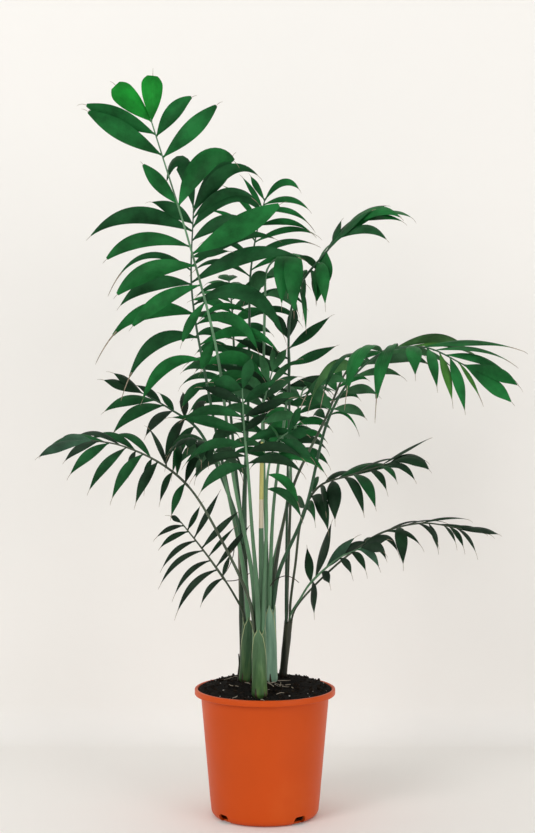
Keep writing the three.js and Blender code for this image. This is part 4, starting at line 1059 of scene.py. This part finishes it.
def add_leaflet(shells, tips, rows, leaflet, draw):
    """One leaflet as a thin folded shell, and the dry thread at its tip."""
    panels = BLADE["panels"]
    steps = len(rows) - 1
    last = round(steps * (BLADE["tail_from"] - BLADE["tail_share"] * leaflet["tail"]))
    thread = BLADE["tail_half"] + BLADE["tail_widen"] * leaflet["tail"]
    places = [mix(-1, 1, k / panels) for k in range(panels + 1)]
    chance = draw()
    rings = []
    marks = []
    for k in range(last + 1):
        centre, across, up = rows[k]
        s = k / steps
        half = 0.5 * leaflet["width"] * swell(s, leaflet)
        half = max(half, BLADE["root_half"] * (1 - s * BLADE["root_taper"]), thread)
        thick = min(BLADE["thickness"], half * BLADE["slim"]) / 2
        above, below = [], []
        for i, x in enumerate(places):
            pleat = BLADE["pleat"] if i % 2 else -BLADE["pleat"]
            lift = half * (BLADE["fold"] * (0.5 - abs(x)) + pleat)
            for skin, way in ((above, 1), (below, -1)):
                skin.append(centre + across * (half * x) + up * (lift + way * thick * (1 - x ** 4)))
        rings.append(above + below[-2:0:-1])
        marks.append([(x, s, chance) for x in places + places[-2:0:-1]])
    shells.loft(rings, slot_of=lambda r, k: 0 if k < panels else 1, mark_of=lambda r, k: marks[r][k])
    line = [row[0] for row in rows[last - 1:]]
    heading = unit(line[-1] - line[-2])
    hang = THREAD["hang"][0] + THREAD["hang"][1] * draw()
    for _ in range(THREAD["links"][0] + int(draw() * THREAD["links"][1])):
        heading = unit(heading - (0, 0, hang))
        line.append(line[-1] + heading * THREAD["link"])
    tips.tube(line, np.linspace(thread, THREAD["end"], len(line)), THREAD["sides"])


def make_ribs():
    """All ribs as one piece; the rib and the body of each frond are what its leaflets need."""
    wood = Shells()
    ribs = {}
    for name, data in FRONDS.items():
        rib = make_rib(data)
        limb = make_limb(name, rib, foot_radius_of(data))
        ribs[name] = (rib, Body(limb.points, limb.faces))
        wood.add(limb)
    nodes = [f"petiole_{name}" for name in FRONDS] + [f"frond_{name}" for name in FRONDS]
    skins = [grained_material("petiole", f"petiole_{tone}", shades(colour, 0.65, 1.7))
             for tone, colour in RIB_TONES.items()]
    wood.piece("ribs", "petiole", skins, nodes)
    return ribs


def make_fronds():
    ribs = make_ribs()
    placed = [limb for _, limb in ribs.values()]
    blades = {tint: Shells() for tint in TINTS}
    tips = Shells()
    skipped = 0
    for order, (name, data) in enumerate(FRONDS.items()):
        rib, limb = ribs[name]
        others = [body for body in placed if body is not limb]
        own = []
        end_tint, *tints = TINT_OF[name].split()
        for leaflet in leaflets_of(data, order):
            seed = FROND_SEEDS * order + len(own) * 2 + (leaflet["side"] > 0)
            draw = random_stream(LOOK_SEED + seed)
            for swing, shorten in DODGES:
                rows = leaflet_path(rib, data, leaflet, swing, shorten)
                whole, free = (leaflet_sheet(rows, leaflet, first) for first in (0, SHEET["free_from"]))
                if any(map(whole.touches, others)) or any(map(free.touches, own)):
                    continue
                own.append(free)
                placed.append(whole)
                dealt = tints[int(draw() * len(tints))]
                tint = end_tint if leaflet["terminal"] else dealt
                add_leaflet(blades[tint], tips, rows, leaflet, draw)
                break
            else:
                skipped += 1
    print(f"{skipped} leaflets left out for want of room")
    for tint, shells in blades.items():
        upper = leaf_material(f"leaf_{tint}", TINTS[tint])
        lower = leaf_material(f"underleaf_{tint}", TINTS[tint], under=True)
        shells.piece(f"leaflets_{tint}", "frond", [upper, lower], crease=60)
    tips.piece("leaflet_tips", "frond", [grained_material("dry", "dry_tip", DRY_TONES)])


# ---- studio ----
# The view is shifted down by 32 of the photo's 833 rows.
CAMERA = dict(place=(0.0034, -2.2, 0.581), lens=70.27, sensor=36, shift=-32 / 833)
BACKDROP = dict(half=3.2, front=-3.0, wall_at=0.458, cove=0.06, top=3.2, colour=(0.905, 0.884, 0.850))
WORLD = dict(colour=(1.0, 0.99, 0.98), strength=0.53)
# Each light: its place, what it is turned to, its side in metres and its power in watts.
LIGHTS = {
    "key": ((-2.2, -2.6, 1.9), (0, 0.1, 0.3), 1.5, 46),
    "fill": ((2.4, -2.6, 0.8), (0.3, 0.4, 0.1), 1.8, 32),
    "top": ((0, -0.5, 2.8), (0, 0, 0), 1.6, 6),
}


def make_camera():
    data = bpy.data.cameras.new("camera")
    data.lens = CAMERA["lens"]
    data.sensor_width = CAMERA["sensor"]
    data.shift_y = CAMERA["shift"]
    data.dof.use_dof = False
    camera = add_object("camera", data)
    camera.location = CAMERA["place"]
    camera.rotation_euler = (math.radians(90), 0, 0)
    bpy.context.scene.camera = camera


def make_stage():
    """The pale floor, which turns up into the wall behind in a soft cove."""
    wall_at, cove, half = BACKDROP["wall_at"], BACKDROP["cove"], BACKDROP["half"]
    profile = [(BACKDROP["front"], 0), *arc((wall_at - cove, cove), cove, -90, 0, 15),
               (wall_at, BACKDROP["top"])]
    points = [(x, y, z) for y, z in profile for x in (-half, half)]
    faces = [(2 * k, 2 * k + 1, 2 * k + 3, 2 * k + 2) for k in range(len(profile) - 1)]
    mesh = bpy.data.meshes.new("backdrop")
    mesh.from_pydata(points, [], faces)
    mesh.polygons.foreach_set("use_smooth", [True] * len(mesh.polygons))
    mesh.materials.append(Skin("backdrop", BACKDROP["colour"], 0.9).material)
    add_object("backdrop", mesh)


def make_light():
    scene = bpy.context.scene
    scene.view_settings.view_transform = "Standard"
    scene.world = bpy.data.worlds.new("studio")
    scene.world.use_nodes = True
    background = scene.world.node_tree.nodes["Background"].inputs
    background["Color"].default_value = (*WORLD["colour"], 1)
    background["Strength"].default_value = WORLD["strength"]
    for name, (place, target, side, power) in LIGHTS.items():
        data = bpy.data.lights.new(name, "AREA")
        data.size = side
        data.energy = power
        light = add_object(name, data)
        light.location = place
        light.rotation_euler = (Vector(target) - Vector(place)).to_track_quat("-Z", "Y").to_euler()


make_camera()
make_stage()
make_light()
make_pot()
make_compost()
make_stems()
make_dead()
make_fronds()
